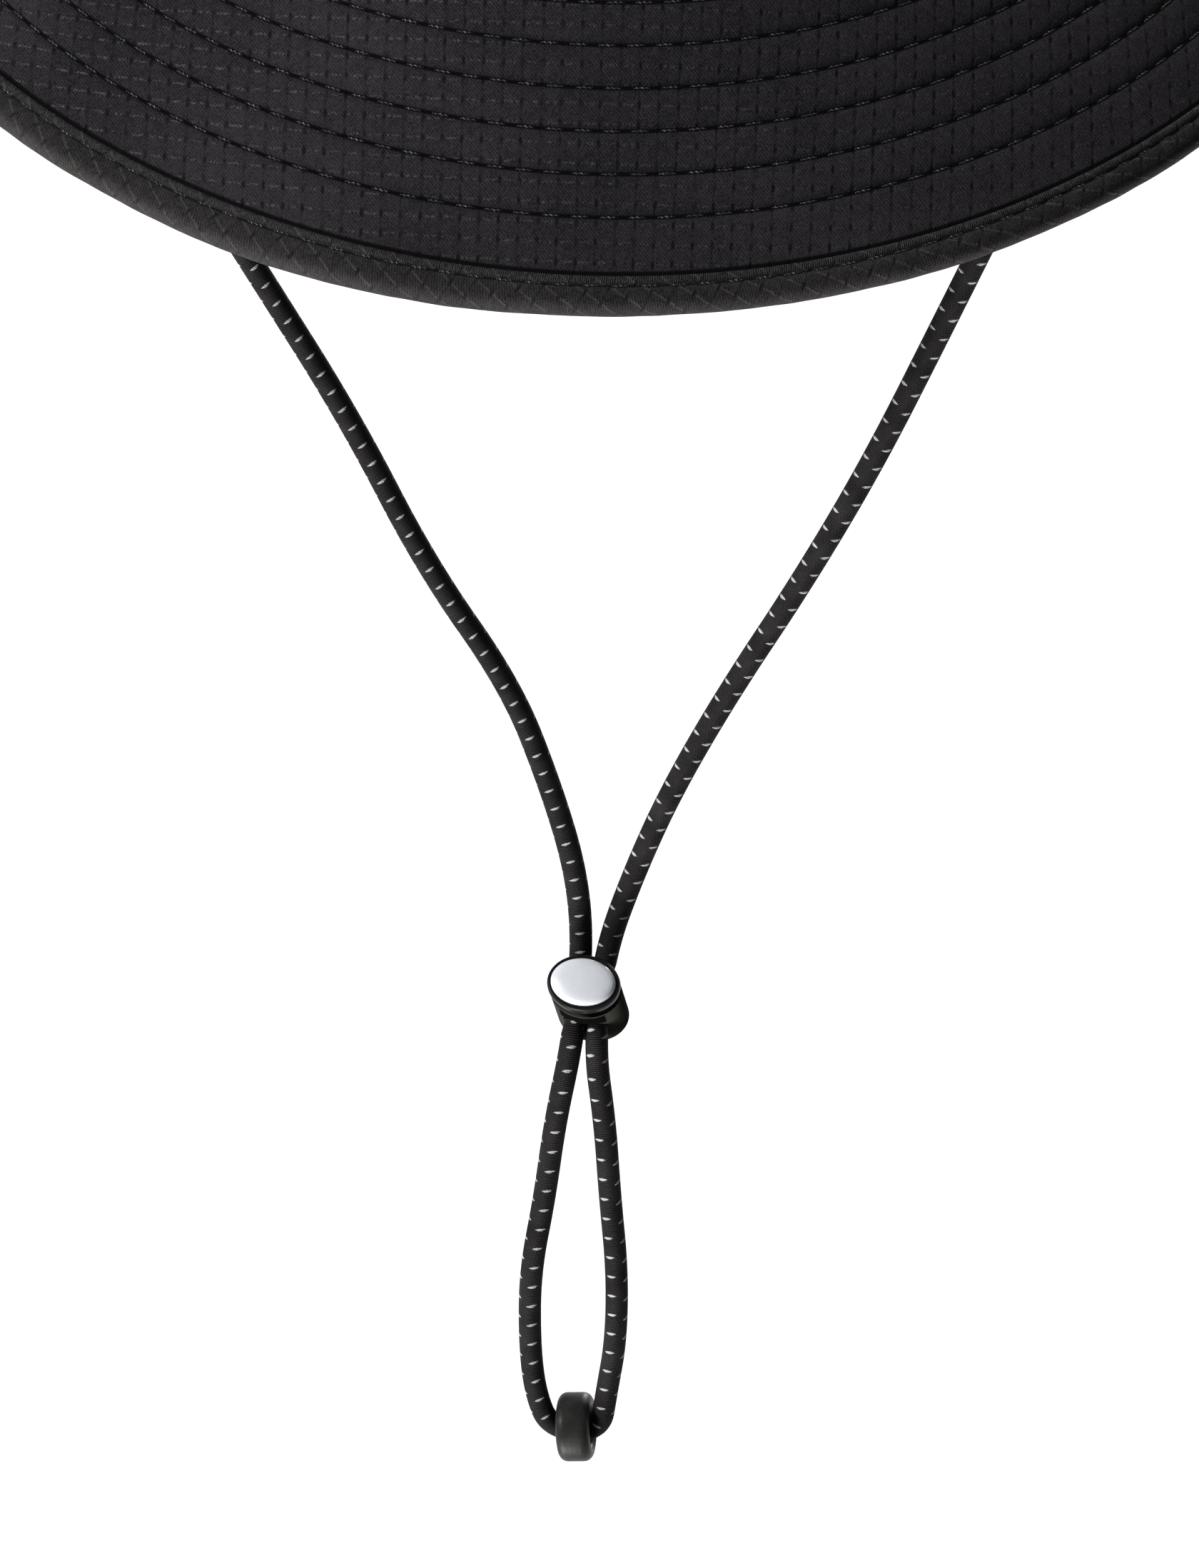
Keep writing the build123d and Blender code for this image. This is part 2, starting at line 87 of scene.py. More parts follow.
class Wire:
    """A value on its way through a finish. Arithmetic on it adds the maths nodes."""

    def __init__(self, finish, socket):
        self.finish = finish
        self.socket = socket

    def maths(self, operation, *values):
        return self.finish.add("ShaderNodeMath", {"operation": operation}, dict(enumerate(values)))

    def __add__(self, other):
        return self.maths("ADD", self, other)

    def __sub__(self, other):
        return self.maths("SUBTRACT", self, other)

    def __rsub__(self, other):
        return self.maths("SUBTRACT", other, self)

    def __mul__(self, other):
        return self.maths("MULTIPLY", self, other)

    def __truediv__(self, other):
        return self.maths("DIVIDE", self, other)

    def __mod__(self, other):
        return self.maths("FLOORED_MODULO", self, other)

    def __abs__(self):
        return self.maths("ABSOLUTE", self)

    __radd__ = __add__
    __rmul__ = __mul__

    def wave(self):
        return self.maths("SINE", self)

    def below(self):
        return self.maths("FLOOR", self)

    def root(self):
        return self.maths("SQRT", self)

    def ease(self, start, end):
        """0 at start, 1 at end, and smooth between them."""
        sides = {"Value": self, "From Min": start, "From Max": end}
        return self.finish.add("ShaderNodeMapRange", {"interpolation_type": "SMOOTHSTEP"}, sides)


class Finish:
    """The nodes of one material, or of the world."""

    def __init__(self, owner):
        owner.use_nodes = True
        self.owner = owner
        self.nodes = owner.node_tree.nodes
        self.links = owner.node_tree.links
        self.nodes.clear()

    def add(self, kind, settings, inputs, output=0):
        """A node of any type: its settings are made first, then its sockets are set or linked."""
        node = self.nodes.new(kind)
        for name, setting in settings.items():
            setattr(node, name, setting)
        for socket, value in inputs.items():
            if isinstance(value, Wire):
                self.links.new(value.socket, node.inputs[socket])
            else:
                node.inputs[socket].default_value = value
        if isinstance(output, tuple):
            return [Wire(self, node.outputs[each]) for each in output]
        return Wire(self, node.outputs[output]) if node.outputs else None

    def tint(self, amount, low, high):
        """One colour turning into another."""
        return self.add("ShaderNodeMix", {"data_type": "RGBA"}, {0: amount, 6: low, 7: high}, 2)

    def cut_place(self):
        """Where a point lies in the flat cloth or along the cord, in millimetres."""
        place = self.add("ShaderNodeUVMap", {"uv_map": "cut"}, {})
        return [value / MM for value in self.add("ShaderNodeSeparateXYZ", {}, {0: place}, (0, 1))]

    def grain(self, size, detail=3.0):
        """Uneven patches of about a size in millimetres, 0 to 1, fixed to the object."""
        place = self.add("ShaderNodeTexCoord", {}, {}, "Object")
        sizes = {"Vector": place, "Scale": 1 / (size * MM), "Detail": detail}
        return self.add("ShaderNodeTexNoise", {}, sizes)

    def coat(self, colour, roughness, height=None, **fixed):
        """Closes a material: its colour, roughness, relief in millimetres and fixed sockets."""
        sockets = {"Base Color": colour, "Roughness": roughness}
        sockets.update({name.replace("_", " "): value for name, value in fixed.items()})
        if height is not None:
            relief = {"Height": height, "Distance": MM, "Strength": 1.0}
            sockets["Normal"] = self.add("ShaderNodeBump", {}, relief)
        shader = self.add("ShaderNodeBsdfPrincipled", {}, sockets)
        self.add("ShaderNodeOutputMaterial", {}, {"Surface": shader})
        return self.owner


def seen_directly(finish):
    """1 for what the lens sees, straight or in a gloss, and 0 for light on the hat."""
    camera_ray, gloss_ray, glass_ray = finish.add(
        "ShaderNodeLightPath", {}, {}, ("Is Camera Ray", "Is Glossy Ray", "Is Transmission Ray"))
    return (camera_ray + gloss_ray + glass_ray).ease(0.0, 1.0)


room = Finish(bpy.data.worlds.new("white_room"))
dim = room.add("ShaderNodeBackground", {}, {"Color": (1.0, 1.0, 1.0, 1.0), "Strength": 0.07})
white = room.add("ShaderNodeBackground", {}, {"Color": (1.0, 1.0, 1.0, 1.0), "Strength": 1.0})
walls = room.add("ShaderNodeMixShader", {}, {0: seen_directly(room), 1: dim, 2: white})
room.add("ShaderNodeOutputWorld", {}, {"Surface": walls})
scene.world = room.owner

paper = Finish(bpy.data.materials.new("floor_paper"))
matt = paper.add("ShaderNodeBsdfDiffuse", {}, {"Color": (0.25, 0.25, 0.25, 1.0)})
pale = paper.add("ShaderNodeBsdfDiffuse", {}, {"Color": (0.9, 0.9, 0.9, 1.0)})
glow = paper.add("ShaderNodeEmission", {}, {"Color": (1.0, 1.0, 1.0, 1.0), "Strength": 0.35})
lit = paper.add("ShaderNodeAddShader", {}, {0: pale, 1: glow})
sheet = paper.add("ShaderNodeMixShader", {}, {0: seen_directly(paper), 1: matt, 2: lit})
paper.add("ShaderNodeOutputMaterial", {}, {"Surface": sheet})

floor_form = bmesh.new()
bmesh.ops.create_grid(floor_form, x_segments=1, y_segments=1, size=12.0,
                      matrix=Matrix.Translation((0.0, 0.0, -0.62)))
floor_mesh = bpy.data.meshes.new("floor")
floor_form.to_mesh(floor_mesh)
floor_form.free()
floor_mesh.materials.append(paper.owner)
floor = bpy.data.objects.new("floor", floor_mesh)
floor.visible_shadow = False
scene.collection.objects.link(floor)

# --- crown shell ------------------------------------------------------------------------------
# Two side panels of black ripstop, sewn together over the ears, and an oval top panel. Each is
# cut flat, seamed to its neighbours and top-stitched; four vent holes are punched at the ears.
HALF_WIDTH = 86.5 * MM
HALF_LENGTH = 102.5 * MM
CROWN_HEIGHT = 82.0 * MM
CROWN_TAPER = 8.0 * MM
CROWN_DOME = 5.0 * MM
VENT_HEIGHT = 52.0 * MM
VENT_CUT = 3.4 * MM
SHELL_CLOTH = 0.5 * MM
CROWN_BLACK = (0.0200, 0.0182, 0.0210, 1.0)
# Pale colour of the ribs: a painted highlight on their raised threads.
CROWN_RIB_HIGHLIGHT = (0.060, 0.058, 0.062, 1.0)


def dyed(ground, times):
    """A cloth colour made darker or lighter."""
    return [times * part for part in ground[:3]] + [1.0]


def ripstop(cloth, across, up, ground, rib_highlight, rib_highlight_share, whole=0.0):
    """Ripstop: a slanting hatch, dark uprights, partly painted shade in their grooves, and ribs
    brightened with a painted highlight, which whole makes unbroken.
    """
    cell = 3.35
    specks = cloth.grain(0.35, 2.0)
    flaws = cloth.grain(1.7, 2.0)
    patches = cloth.grain(38.0, 2.0)
    shake = (specks - 0.5) * 0.5 + (flaws - 0.5) * 0.5
    from_upright = abs(((across + shake) / (cell * 1.07)) % 1.0 - 0.5) * cell
    from_rib = abs(((up + shake) / cell) % 1.0 - 0.5) * cell
    upright = from_upright.ease(0.40, 0.05) * flaws.ease(0.38, 0.66)
    knot = from_rib.ease(0.95, 0.35) * from_upright.ease(0.40, 0.18) * flaws.ease(0.25, 0.50)
    dash = from_rib.ease(0.30, 0.06) * from_upright.ease(0.38 - 0.4 * whole, 0.75 - 0.5 * whole)
    dash = dash * (specks.ease(0.40, 0.66) * (1 - whole) + whole)
    hatch = ((across * 0.74 + up * 0.67) * (tau / 0.50)).wave()
    pick = (up * (tau / 0.42)).wave()
    dark = dyed(ground, 0.30)
    tone = (specks - 0.5) * 1.2 + (patches - 0.5) * 0.5 + (flaws - 0.5) * 0.45
    tone = tone + hatch * flaws * 0.30 + 0.42
    colour = cloth.tint(tone.ease(-0.1, 1.0), dark, dyed(ground, 1.9))
    # Darker uprights and knots beside the ribs: partly the weave's own pattern, partly painted
    # shade in their grooves.
    upright_groove_shade = upright * (0.40 - 0.05 * whole) + knot * (0.60 - 0.40 * whole)
    colour = cloth.tint(upright_groove_shade, colour, dark)
    # The pale ribs: a painted highlight where their raised threads catch the light.
    colour = cloth.tint(dash * rib_highlight_share, colour, rib_highlight)
    relief = hatch * 0.008 + pick * 0.005 + (specks - 0.5) * 0.07 - upright * 0.05
    return colour, relief + dash * 0.06 - knot * 0.04, 0.78 + specks * 0.15


def lay_cloth(columns, rows, flat, place):
    """A grid of cloth: flat(u, v) is a point's place in the cut piece, place(u, v) as sewn."""
    form = bmesh.new()
    cut = form.loops.layers.uv.new("cut")
    bmesh.ops.create_grid(form, x_segments=columns, y_segments=rows, size=0.5)
    for face in form.faces:
        for loop in face.loops:
            loop[cut].uv = flat(loop.vert.co.x + 0.5, loop.vert.co.y + 0.5)
    for vert in form.verts:
        vert.co = place(vert.co.x + 0.5, vert.co.y + 0.5)
    bmesh.ops.remove_doubles(form, verts=form.verts, dist=0.002 * MM)
    return form


def punch(form, holes, radius):
    """Takes the cloth out of round holes, each given as the matrix of its eyelet."""
    inside = []
    for hole in holes:
        back = hole.inverted()
        for face in form.faces:
            spot = back @ face.calc_center_median()
            if spot.xy.length < radius and abs(spot.z) < 6 * MM:
                inside.append(face)
    bmesh.ops.delete(form, geom=list(set(inside)), context="FACES")


def sewn_in(name, form, finish, stands_for=(), body="hat", thick=0.0, outward=None):
    """Makes a form a piece of the hat, with its finish, body and the nodes it replaces."""
    if outward is not None:
        first = next(iter(form.faces))
        if first.normal.dot(outward(first.calc_center_median())) < 0:
            bmesh.ops.reverse_faces(form, faces=form.faces)
    mesh = bpy.data.meshes.new(name)
    form.to_mesh(mesh)
    form.free()
    mesh.shade_smooth()
    mesh.materials.append(finish)
    piece = bpy.data.objects.new(name, mesh)
    scene.collection.objects.link(piece)
    if thick:
        ply = piece.modifiers.new("ply", "SOLIDIFY")
        ply.thickness = thick
        ply.offset = -1.0
    if body:
        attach(piece, body)
    if stands_for:
        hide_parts(*stands_for)
    return piece


def sideways(spot):
    """Level, and away from the middle of the hat."""
    return Vector((*spot.xy, 0.0))


def upwards(spot):
    """Straight up, at any spot."""
    return Vector((0.0, 0.0, 1.0))


def crown_spot(angle, height, lift):
    """A point of the crown's side: an angle about the head, a height, a lift out of the cloth."""
    inset = CROWN_TAPER * height / CROWN_HEIGHT - lift
    return Vector(((HALF_WIDTH - inset) * cos(angle), (HALF_LENGTH - inset) * sin(angle), height))


def crown_slack(angle, height):
    """How far the side panels stand out of their pattern: soft dents, and two felled seams."""
    spot = Vector((cos(angle) * 2.1, sin(angle) * 2.1, height / (34 * MM)))
    dents = 0.9 * noise.noise(spot) + 0.35 * noise.noise(spot * 2.7)
    calm = min(1.0, height / (12 * MM), (CROWN_HEIGHT - height) / (9 * MM))
    seam = abs(sin(angle)) * HALF_LENGTH / MM
    fell = 0.55 / (1 + exp((seam - 7.0) * 2.2)) - 0.5 * exp(-(seam / 0.6) ** 2)
    return (max(-0.25, dents * calm) + 0.35 + fell) * MM


def eyelet_seat(origin, up):
    """The matrix of an eyelet: its Z points out of the cloth."""
    return Matrix.Translation(origin) @ up.to_track_quat("Z", "Y").to_matrix().to_4x4()


vent_seats = []
for side in (-1, 1):
    for turn in (-11.0, 11.0):
        angle = radians(turn) if side > 0 else pi - radians(turn)
        origin = crown_spot(angle, VENT_HEIGHT, 0.0)
        inset = CROWN_TAPER * VENT_HEIGHT / CROWN_HEIGHT
        up = Vector((origin.x / (HALF_WIDTH - inset) ** 2, origin.y / (HALF_LENGTH - inset) ** 2,
                     0.0)).normalized() + Vector((0.0, 0.0, CROWN_TAPER / CROWN_HEIGHT))
        vent_seats.append(eyelet_seat(origin, up))

crown_cloth = Finish(bpy.data.materials.new("crown_ripstop"))
crown_across, crown_up = crown_cloth.cut_place()
colour, relief, dullness = ripstop(crown_cloth, crown_across, crown_up, CROWN_BLACK, CROWN_RIB_HIGHLIGHT,
                                   0.45)
crown_ripstop = crown_cloth.coat(colour, dullness, relief, Specular_IOR_Level=0.03)
HALF_ROUND = 297.0 * MM
TURNED_EDGE = 1.4 * MM
LOWER_EDGE = -0.35 * MM
for name, start in (("front", pi), ("back", 0.0)):

    def side_place(u, v, start=start):
        height = LOWER_EDGE + v * 1.035 * CROWN_HEIGHT
        over = max(0.0, height - CROWN_HEIGHT + TURNED_EDGE)
        bend = min(over / TURNED_EDGE, pi / 2)
        level = min(height, CROWN_HEIGHT - TURNED_EDGE) + TURNED_EDGE * sin(bend)
        angle = start + u * pi
        lift = crown_slack(angle, min(height, CROWN_HEIGHT)) - TURNED_EDGE * (1 - cos(bend))
        return crown_spot(angle, level, lift - max(0.0, over - TURNED_EDGE * pi / 2))

    panel = lay_cloth(264, 70, lambda u, v: (u * HALF_ROUND, v * CROWN_HEIGHT), side_place)
    punch(panel, vent_seats, VENT_CUT)
    sewn_in("crown_side_panel_" + name, panel, crown_ripstop,
            ["crown_side_" + name], thick=SHELL_CLOTH, outward=sideways)


DOME_OPENING = radians(53.0)
TOP_REACH = 80.0


def dome_spot(angle, share, drop, depth):
    """A point of the top panel: share of the way from its middle to its edge."""
    edge = sin(DOME_OPENING * share) / sin(DOME_OPENING)
    rise = CROWN_DOME * (cos(DOME_OPENING * share) - cos(DOME_OPENING)) / (1 - cos(DOME_OPENING))
    half_width = HALF_WIDTH - CROWN_TAPER - depth
    half_length = HALF_LENGTH - CROWN_TAPER - depth
    return Vector((half_width * edge * cos(angle), half_length * edge * sin(angle),
                   CROWN_HEIGHT + rise - drop))


def top_place(u, v):
    spot = dome_spot(tau * u, v * 0.985, 0.0, 0.0)
    dents = 0.8 * noise.noise(spot / (36 * MM)) + 0.25 * noise.noise(spot / (13 * MM))
    from_edge = (1 - v) * TOP_REACH
    rim = 0.7 * exp(-((from_edge - 3.2) / 2.4) ** 2) - 0.9 * exp(-(from_edge / 0.9) ** 2)
    spot.z += (dents * min(1.0, (1 - v) * 8) + rim + 0.2) * MM
    return spot


def top_flat(u, v):
    return ((HALF_WIDTH - CROWN_TAPER) * v * cos(tau * u),
            (HALF_LENGTH - CROWN_TAPER) * v * sin(tau * u))


sewn_in("crown_top", lay_cloth(288, 76, top_flat, top_place), crown_ripstop,
        ["crown_top_panel"], thick=SHELL_CLOTH, outward=upwards)

# --- crown lining -----------------------------------------------------------------------------
# A second, smooth crown of thin plain-woven black lining inside the first, with a tape over each
# side seam and one around the join with the brim.
PLAIN_BLACK = (0.0150, 0.0145, 0.0165, 1.0)


def plain_weave(name, ground, pitch, lift, roughness):
    """A plain weave of a pitch in millimetres."""
    cloth = Finish(bpy.data.materials.new(name))
    across, up = cloth.cut_place()
    warp = (across * (tau / pitch)).wave()
    weft = (up * (tau / pitch)).wave()
    specks = cloth.grain(0.8)
    patches = cloth.grain(30.0, 2.0)
    tone = warp * weft * 0.22 + (specks - 0.5) * 0.8 + (patches - 0.5) * 0.7 + 0.4
    colour = cloth.tint(tone.ease(0.0, 1.0), dyed(ground, 0.6), dyed(ground, 2.2))
    return cloth.coat(colour, roughness + specks * 0.15, (warp * weft + specks) * lift,
                      Specular_IOR_Level=0.4, Sheen_Weight=0.08, Sheen_Roughness=0.35)


lining_weave = plain_weave("lining_weave", PLAIN_BLACK, 0.6, 0.02, 0.42)
LINING_CLOTH = 0.3 * MM
LINING_DEPTH = 1.0 * MM
LINING_START = 0.3 * MM
LINING_TOP = 80.5 * MM
LINING_RADIUS = 94 * MM


def lining_place(u, v):
    spot = Vector((cos(tau * u) * 3.0, sin(tau * u) * 3.0, v * 2.5))
    return crown_spot(tau * u, LINING_START + v * (LINING_TOP - LINING_START),
                      -LINING_DEPTH - 0.12 * MM * (1 + noise.noise(spot)))


lining_side = lay_cloth(420, 52, lambda u, v: (tau * u * LINING_RADIUS, v * LINING_TOP),
                        lining_place)
punch(lining_side, vent_seats, VENT_CUT)
sewn_in("lining_side", lining_side, lining_weave, ["crown_lining_side"],
        thick=LINING_CLOTH, outward=sideways)


def lining_top_place(u, v):
    spot = dome_spot(tau * u, v, LINING_DEPTH, LINING_DEPTH)
    spot.z -= 0.15 * MM * (1 + noise.noise(spot / (20 * MM))) * min(1.0, (1 - v) * 8)
    return spot


sewn_in("lining_top", lay_cloth(144, 30, top_flat, lining_top_place), lining_weave,
        ["crown_lining_top"], thick=LINING_CLOTH, outward=upwards)

TAPE_DEPTH = 1.7 * MM
TAPE = 0.5 * MM
TAPE_WIDTH = 12.0 * MM
TAPE_START = 37 * MM
TAPE_RADIUS = 92 * MM
tape_weave = plain_weave("tape_weave", (0.017, 0.017, 0.019, 1.0), 0.9, 0.05, 0.7)


def add_to(group, form):
    """Adds a form to others that make one piece with it."""
    holder = bpy.data.meshes.new("holder")
    form.to_mesh(holder)
    form.free()
    group.from_mesh(holder)
    bpy.data.meshes.remove(holder)


tapes = bmesh.new()
for middle in (0.0, pi):

    def tape_place(u, v, middle=middle):
        swell = 0.12 * MM * abs(2 * u - 1) ** 4
        return crown_spot(middle + (u - 0.5) * TAPE_WIDTH / HALF_LENGTH,
                          TAPE_START + v * 42.3 * MM, -TAPE_DEPTH + swell)

    strip = lay_cloth(12, 40, lambda u, v: (u * TAPE_WIDTH, v * 42.5 * MM), tape_place)
    if next(iter(strip.faces)).normal.x * cos(middle) < 0:
        bmesh.ops.reverse_faces(strip, faces=strip.faces)
    add_to(tapes, strip)
sewn_in("side_tapes", tapes, tape_weave, ["side_seam_tapes"], thick=TAPE)

join_tape = lay_cloth(360, 8, lambda u, v: (tau * u * TAPE_RADIUS, v * TAPE_WIDTH),
                      lambda u, v: crown_spot(tau * u, 0.6 * MM + v * 11.4 * MM, -TAPE_DEPTH))
sewn_in("join_tape", join_tape, tape_weave, ["brim_join_tape"], thick=TAPE,
        outward=sideways)

# --- sweatband --------------------------------------------------------------------------------
# A soft padded band of wicking knit, sewn in around the opening along its lower edge and quilted
# with a row of stitches near the top, so that it swells between them.
BAND_DEPTH = 2.4 * MM
BAND_THICK = 1.6 * MM
BAND_HEIGHT = 34.0 * MM
BAND_START = 0.8 * MM
BAND_RADIUS = 91 * MM
BAND_BLACK = (0.019, 0.019, 0.021, 1.0)
BAND_SECTION = ((0.0, 0.05), (0.0, 0.5), (0.0, 0.97), (0.25, 1.0), (0.75, 1.0), (1.0, 0.975),
                (0.8, 0.93), (0.55, 0.915), (0.8, 0.895), (1.0, 0.82), (1.0, 0.7), (1.0, 0.55),
                (1.0, 0.4), (1.0, 0.25), (0.95, 0.15), (0.6, 0.105), (0.75, 0.08), (0.9, 0.05),
                (0.75, 0.01), (0.25, 0.0), (0.0, 0.05))


def knit(name, ground):
    """A fine knit: rows of small loops."""
    cloth = Finish(bpy.data.materials.new(name))
    across, up = cloth.cut_place()
    rows = (up / 0.9).below()
    loops = ((across + (rows % 2.0) * 0.45) * (tau / 0.9)).wave()
    ridge = (up * (tau / 0.9)).wave()
    fuzz = cloth.grain(0.5)
    patches = cloth.grain(25.0, 2.0)
    tone = loops * ridge * 0.25 + (fuzz - 0.5) * 0.7 + (patches - 0.5) * 0.5 + 0.42
    colour = cloth.tint(tone.ease(0.0, 1.0), dyed(ground, 0.55), dyed(ground, 2.3))
    return cloth.coat(colour, 0.85, (loops * ridge + fuzz) * 0.05, Specular_IOR_Level=0.2,
                      Sheen_Weight=0.25, Sheen_Roughness=0.5)


def band_place(u, v):
    inward, level = BAND_SECTION[round(v * (len(BAND_SECTION) - 1))]
    height = BAND_START + level * (BAND_HEIGHT - BAND_START)
    spot = Vector((cos(tau * u) * 5.0, sin(tau * u) * 5.0, level * 3.0))
    swell = 0.16 * MM * noise.noise(spot) if inward > 0.9 else 0.0
    return crown_spot(tau * u, height, -BAND_DEPTH - inward * (BAND_THICK - 0.1 * MM) + swell)


def band_flat(u, v):
    return (tau * u * BAND_RADIUS, v * 2.1 * BAND_HEIGHT)


band = lay_cloth(480, len(BAND_SECTION) - 1, band_flat, band_place)
bmesh.ops.recalc_face_normals(band, faces=band.faces)
sweatband = sewn_in("padded_sweatband", band, knit("sweatband_knit", BAND_BLACK),
                    ["sweatband"])

# --- brim -------------------------------------------------------------------------------------
# Two plies of ripstop over a felt stiffener, each cut as a front and a back half and quilted by
# six rows of stitches, so that the cloth swells between the rows and dips along them.
BRIM_THICK = 2.44 * MM
BRIM_PLY = 0.45 * MM
STITCH_ROWS = (6.7, 13.98, 21.26, 28.54, 35.82, 43.1)
ROW_PITCH = 7.28
BINDING_EDGE = 53.2
CORD_HOLE_REACH = 17.6 * MM
CORD_CUT = 3.9 * MM
UNDER_FOLDS = 9.0
BRIM_BLACK = (0.0212, 0.0193, 0.0222, 1.0)
# Pale colour of the brim's ribs: a painted highlight on their raised threads.
BRIM_RIB_HIGHLIGHT = (0.105, 0.100, 0.098, 1.0)
# Colour of the painted shade in the brim's stitch grooves and in the crease beside the binding.
BRIM_GROOVE_SHADE = (0.0022, 0.0020, 0.0022, 1.0)


def brim_spot(angle, reach, lift):
    """A point of the brim: reach along the cloth from the join, lift above its upper face."""
    slope = radians(18.0 + 29.6 * sin(angle) ** 2)
    out = reach * cos(slope) + lift * sin(slope)
    return Vector(((HALF_WIDTH + out) * cos(angle), (HALF_LENGTH + out) * sin(angle),
                   lift * cos(slope) - reach * sin(slope)))


def quilting(angle, reach):
    """How far the quilted cloth stands out at a reach in millimetres."""
    nearest = min(abs(reach - row) for row in STITCH_ROWS)
    puff = 0.30 * (1 - exp(-(nearest / 0.7) ** 2))
    puff += 0.20 * (1 - (1 - min(nearest, 3.6) / 3.6) ** 2)
    outer = max(0.0, (BINDING_EDGE + 2.2 - reach) / 2.6)
    edges = min(1.0, max(0.0, reach) / 2.5) * min(1.0, outer)
    spot = Vector((angle * 17.0, reach / 5.0, 0.0))
    pull = 0.10 * noise.noise(spot) * exp(-(nearest / 2.2) ** 2) + 0.16 * noise.noise(spot * 0.31)
    return (puff * edges + pull * edges - 0.04) * MM


# The cloth's rows of mesh lie close together at each row of stitches.
reaches = [-0.9, 0.0, 0.5, 1.2, 2.2, 3.6, 4.9]
for row in STITCH_ROWS:
    reaches += [row - 1.2, row - 0.7, row - 0.35, row, row + 0.35, row + 0.7, row + 1.2, row + 2.4]
    if row < 40:
        reaches += [row + 3.65, row + 4.9]
reaches += [46.8, 48.3, 49.8, 51.2, 52.3, 53.0, 54.0, 55.4, 57.0]
reaches.sort()

cord_seats = []
for angle in (radians(188.0), radians(352.0)):
    origin = brim_spot(angle, CORD_HOLE_REACH, 0.0)
    cord_seats.append(eyelet_seat(origin, brim_spot(angle, CORD_HOLE_REACH, MM) - origin))

INNER_CUT = 115.0 * MM
brim_cloth = Finish(bpy.data.materials.new("brim_ripstop"))
brim_across, brim_up = brim_cloth.cut_place()
pulled_up = brim_up - brim_across * brim_across * 0.0011
# Painted light: the ribs' highlight is strong on the brim's left front, where the light falls, and
# faint on its right.
rib_highlight_share = brim_across.ease(90.0, -100.0) * 0.62 + 0.14
colour, relief, dullness = ripstop(brim_cloth, brim_across, pulled_up, BRIM_BLACK, BRIM_RIB_HIGHLIGHT,
                                   rib_highlight_share)
brim_reach = (brim_across * brim_across + brim_up * brim_up).root() - INNER_CUT / MM
from_row = abs(((brim_reach - STITCH_ROWS[0]) / ROW_PITCH + 0.5) % 1.0 - 0.5) * ROW_PITCH
sewn_part = brim_reach.ease(3.0, 4.0) * brim_reach.ease(47.0, 46.0)
# Painted shade along each stitch row, where the cloth dips into a groove.
pinched = from_row.ease(0.52, 0.18) * sewn_part * 0.85 + from_row.ease(1.6, 0.3) * sewn_part * 0.15
# Painted shadow: a dark line in the gap between the brim cloth and the binding's ridge.
binding_crease_shadow = abs(brim_reach - 52.85).ease(0.80, 0.35)
colour = brim_cloth.tint(pinched + binding_crease_shadow * 0.95, colour, BRIM_GROOVE_SHADE)
brim_ripstop = brim_cloth.coat(colour, dullness, relief, Specular_IOR_Level=0.03)
CUT_TURN = radians(74.0)
for name, start in (("front", pi), ("back", 0.0)):

    def brim_flat(u, v):
        reach = reaches[round(v * (len(reaches) - 1))] * MM
        turn = (2 * u - 1) * CUT_TURN
        return ((INNER_CUT + reach) * sin(turn), -(INNER_CUT + reach) * cos(turn))

    def upper_place(u, v, start=start):
        reach = reaches[round(v * (len(reaches) - 1))]
        angle = start + u * pi
        return brim_spot(angle, reach * MM, quilting(angle, reach))

    def lower_place(u, v, start=start):
        reach = reaches[round(v * (len(reaches) - 1))]
        angle = start + u * pi
        return brim_spot(angle, reach * MM, -BRIM_THICK - quilting(angle + UNDER_FOLDS, reach))

    for face, place, up in (("upper", upper_place, 1.0), ("lower", lower_place, -1.0)):
        panel = lay_cloth(420, len(reaches) - 1, brim_flat, place)
        punch(panel, cord_seats, CORD_CUT)
        sewn_in("brim_%s_panel_%s" % (face, name), panel, brim_ripstop,
                ["brim_%s_%s" % (face, name)], thick=BRIM_PLY,
                outward=lambda spot, up=up: Vector((0.0, 0.0, up)))

# The stiffener is a needled felt, which shows only inside the cord's two holes.
FELT = 0.95 * MM
FELT_DEPTH = 0.74 * MM
FELT_REACH = 56.8 * MM
felt = Finish(bpy.data.materials.new("stiffener_felt"))
fibre = felt.grain(0.4, 5.0)
felt_grey = felt.tint(fibre, (0.05, 0.05, 0.05, 1.0), (0.16, 0.16, 0.155, 1.0))
felt_finish = felt.coat(felt_grey, 0.95, fibre * 0.08, Specular_IOR_Level=0.1)
stiffener = lay_cloth(360, 24, lambda u, v: (u, v * FELT_REACH),
                      lambda u, v: brim_spot(tau * u, v * FELT_REACH, -FELT_DEPTH))
punch(stiffener, cord_seats, CORD_CUT)
sewn_in("brim_stiffener", stiffener, felt_finish, ["brim_interlining"],
        thick=FELT, outward=upwards)

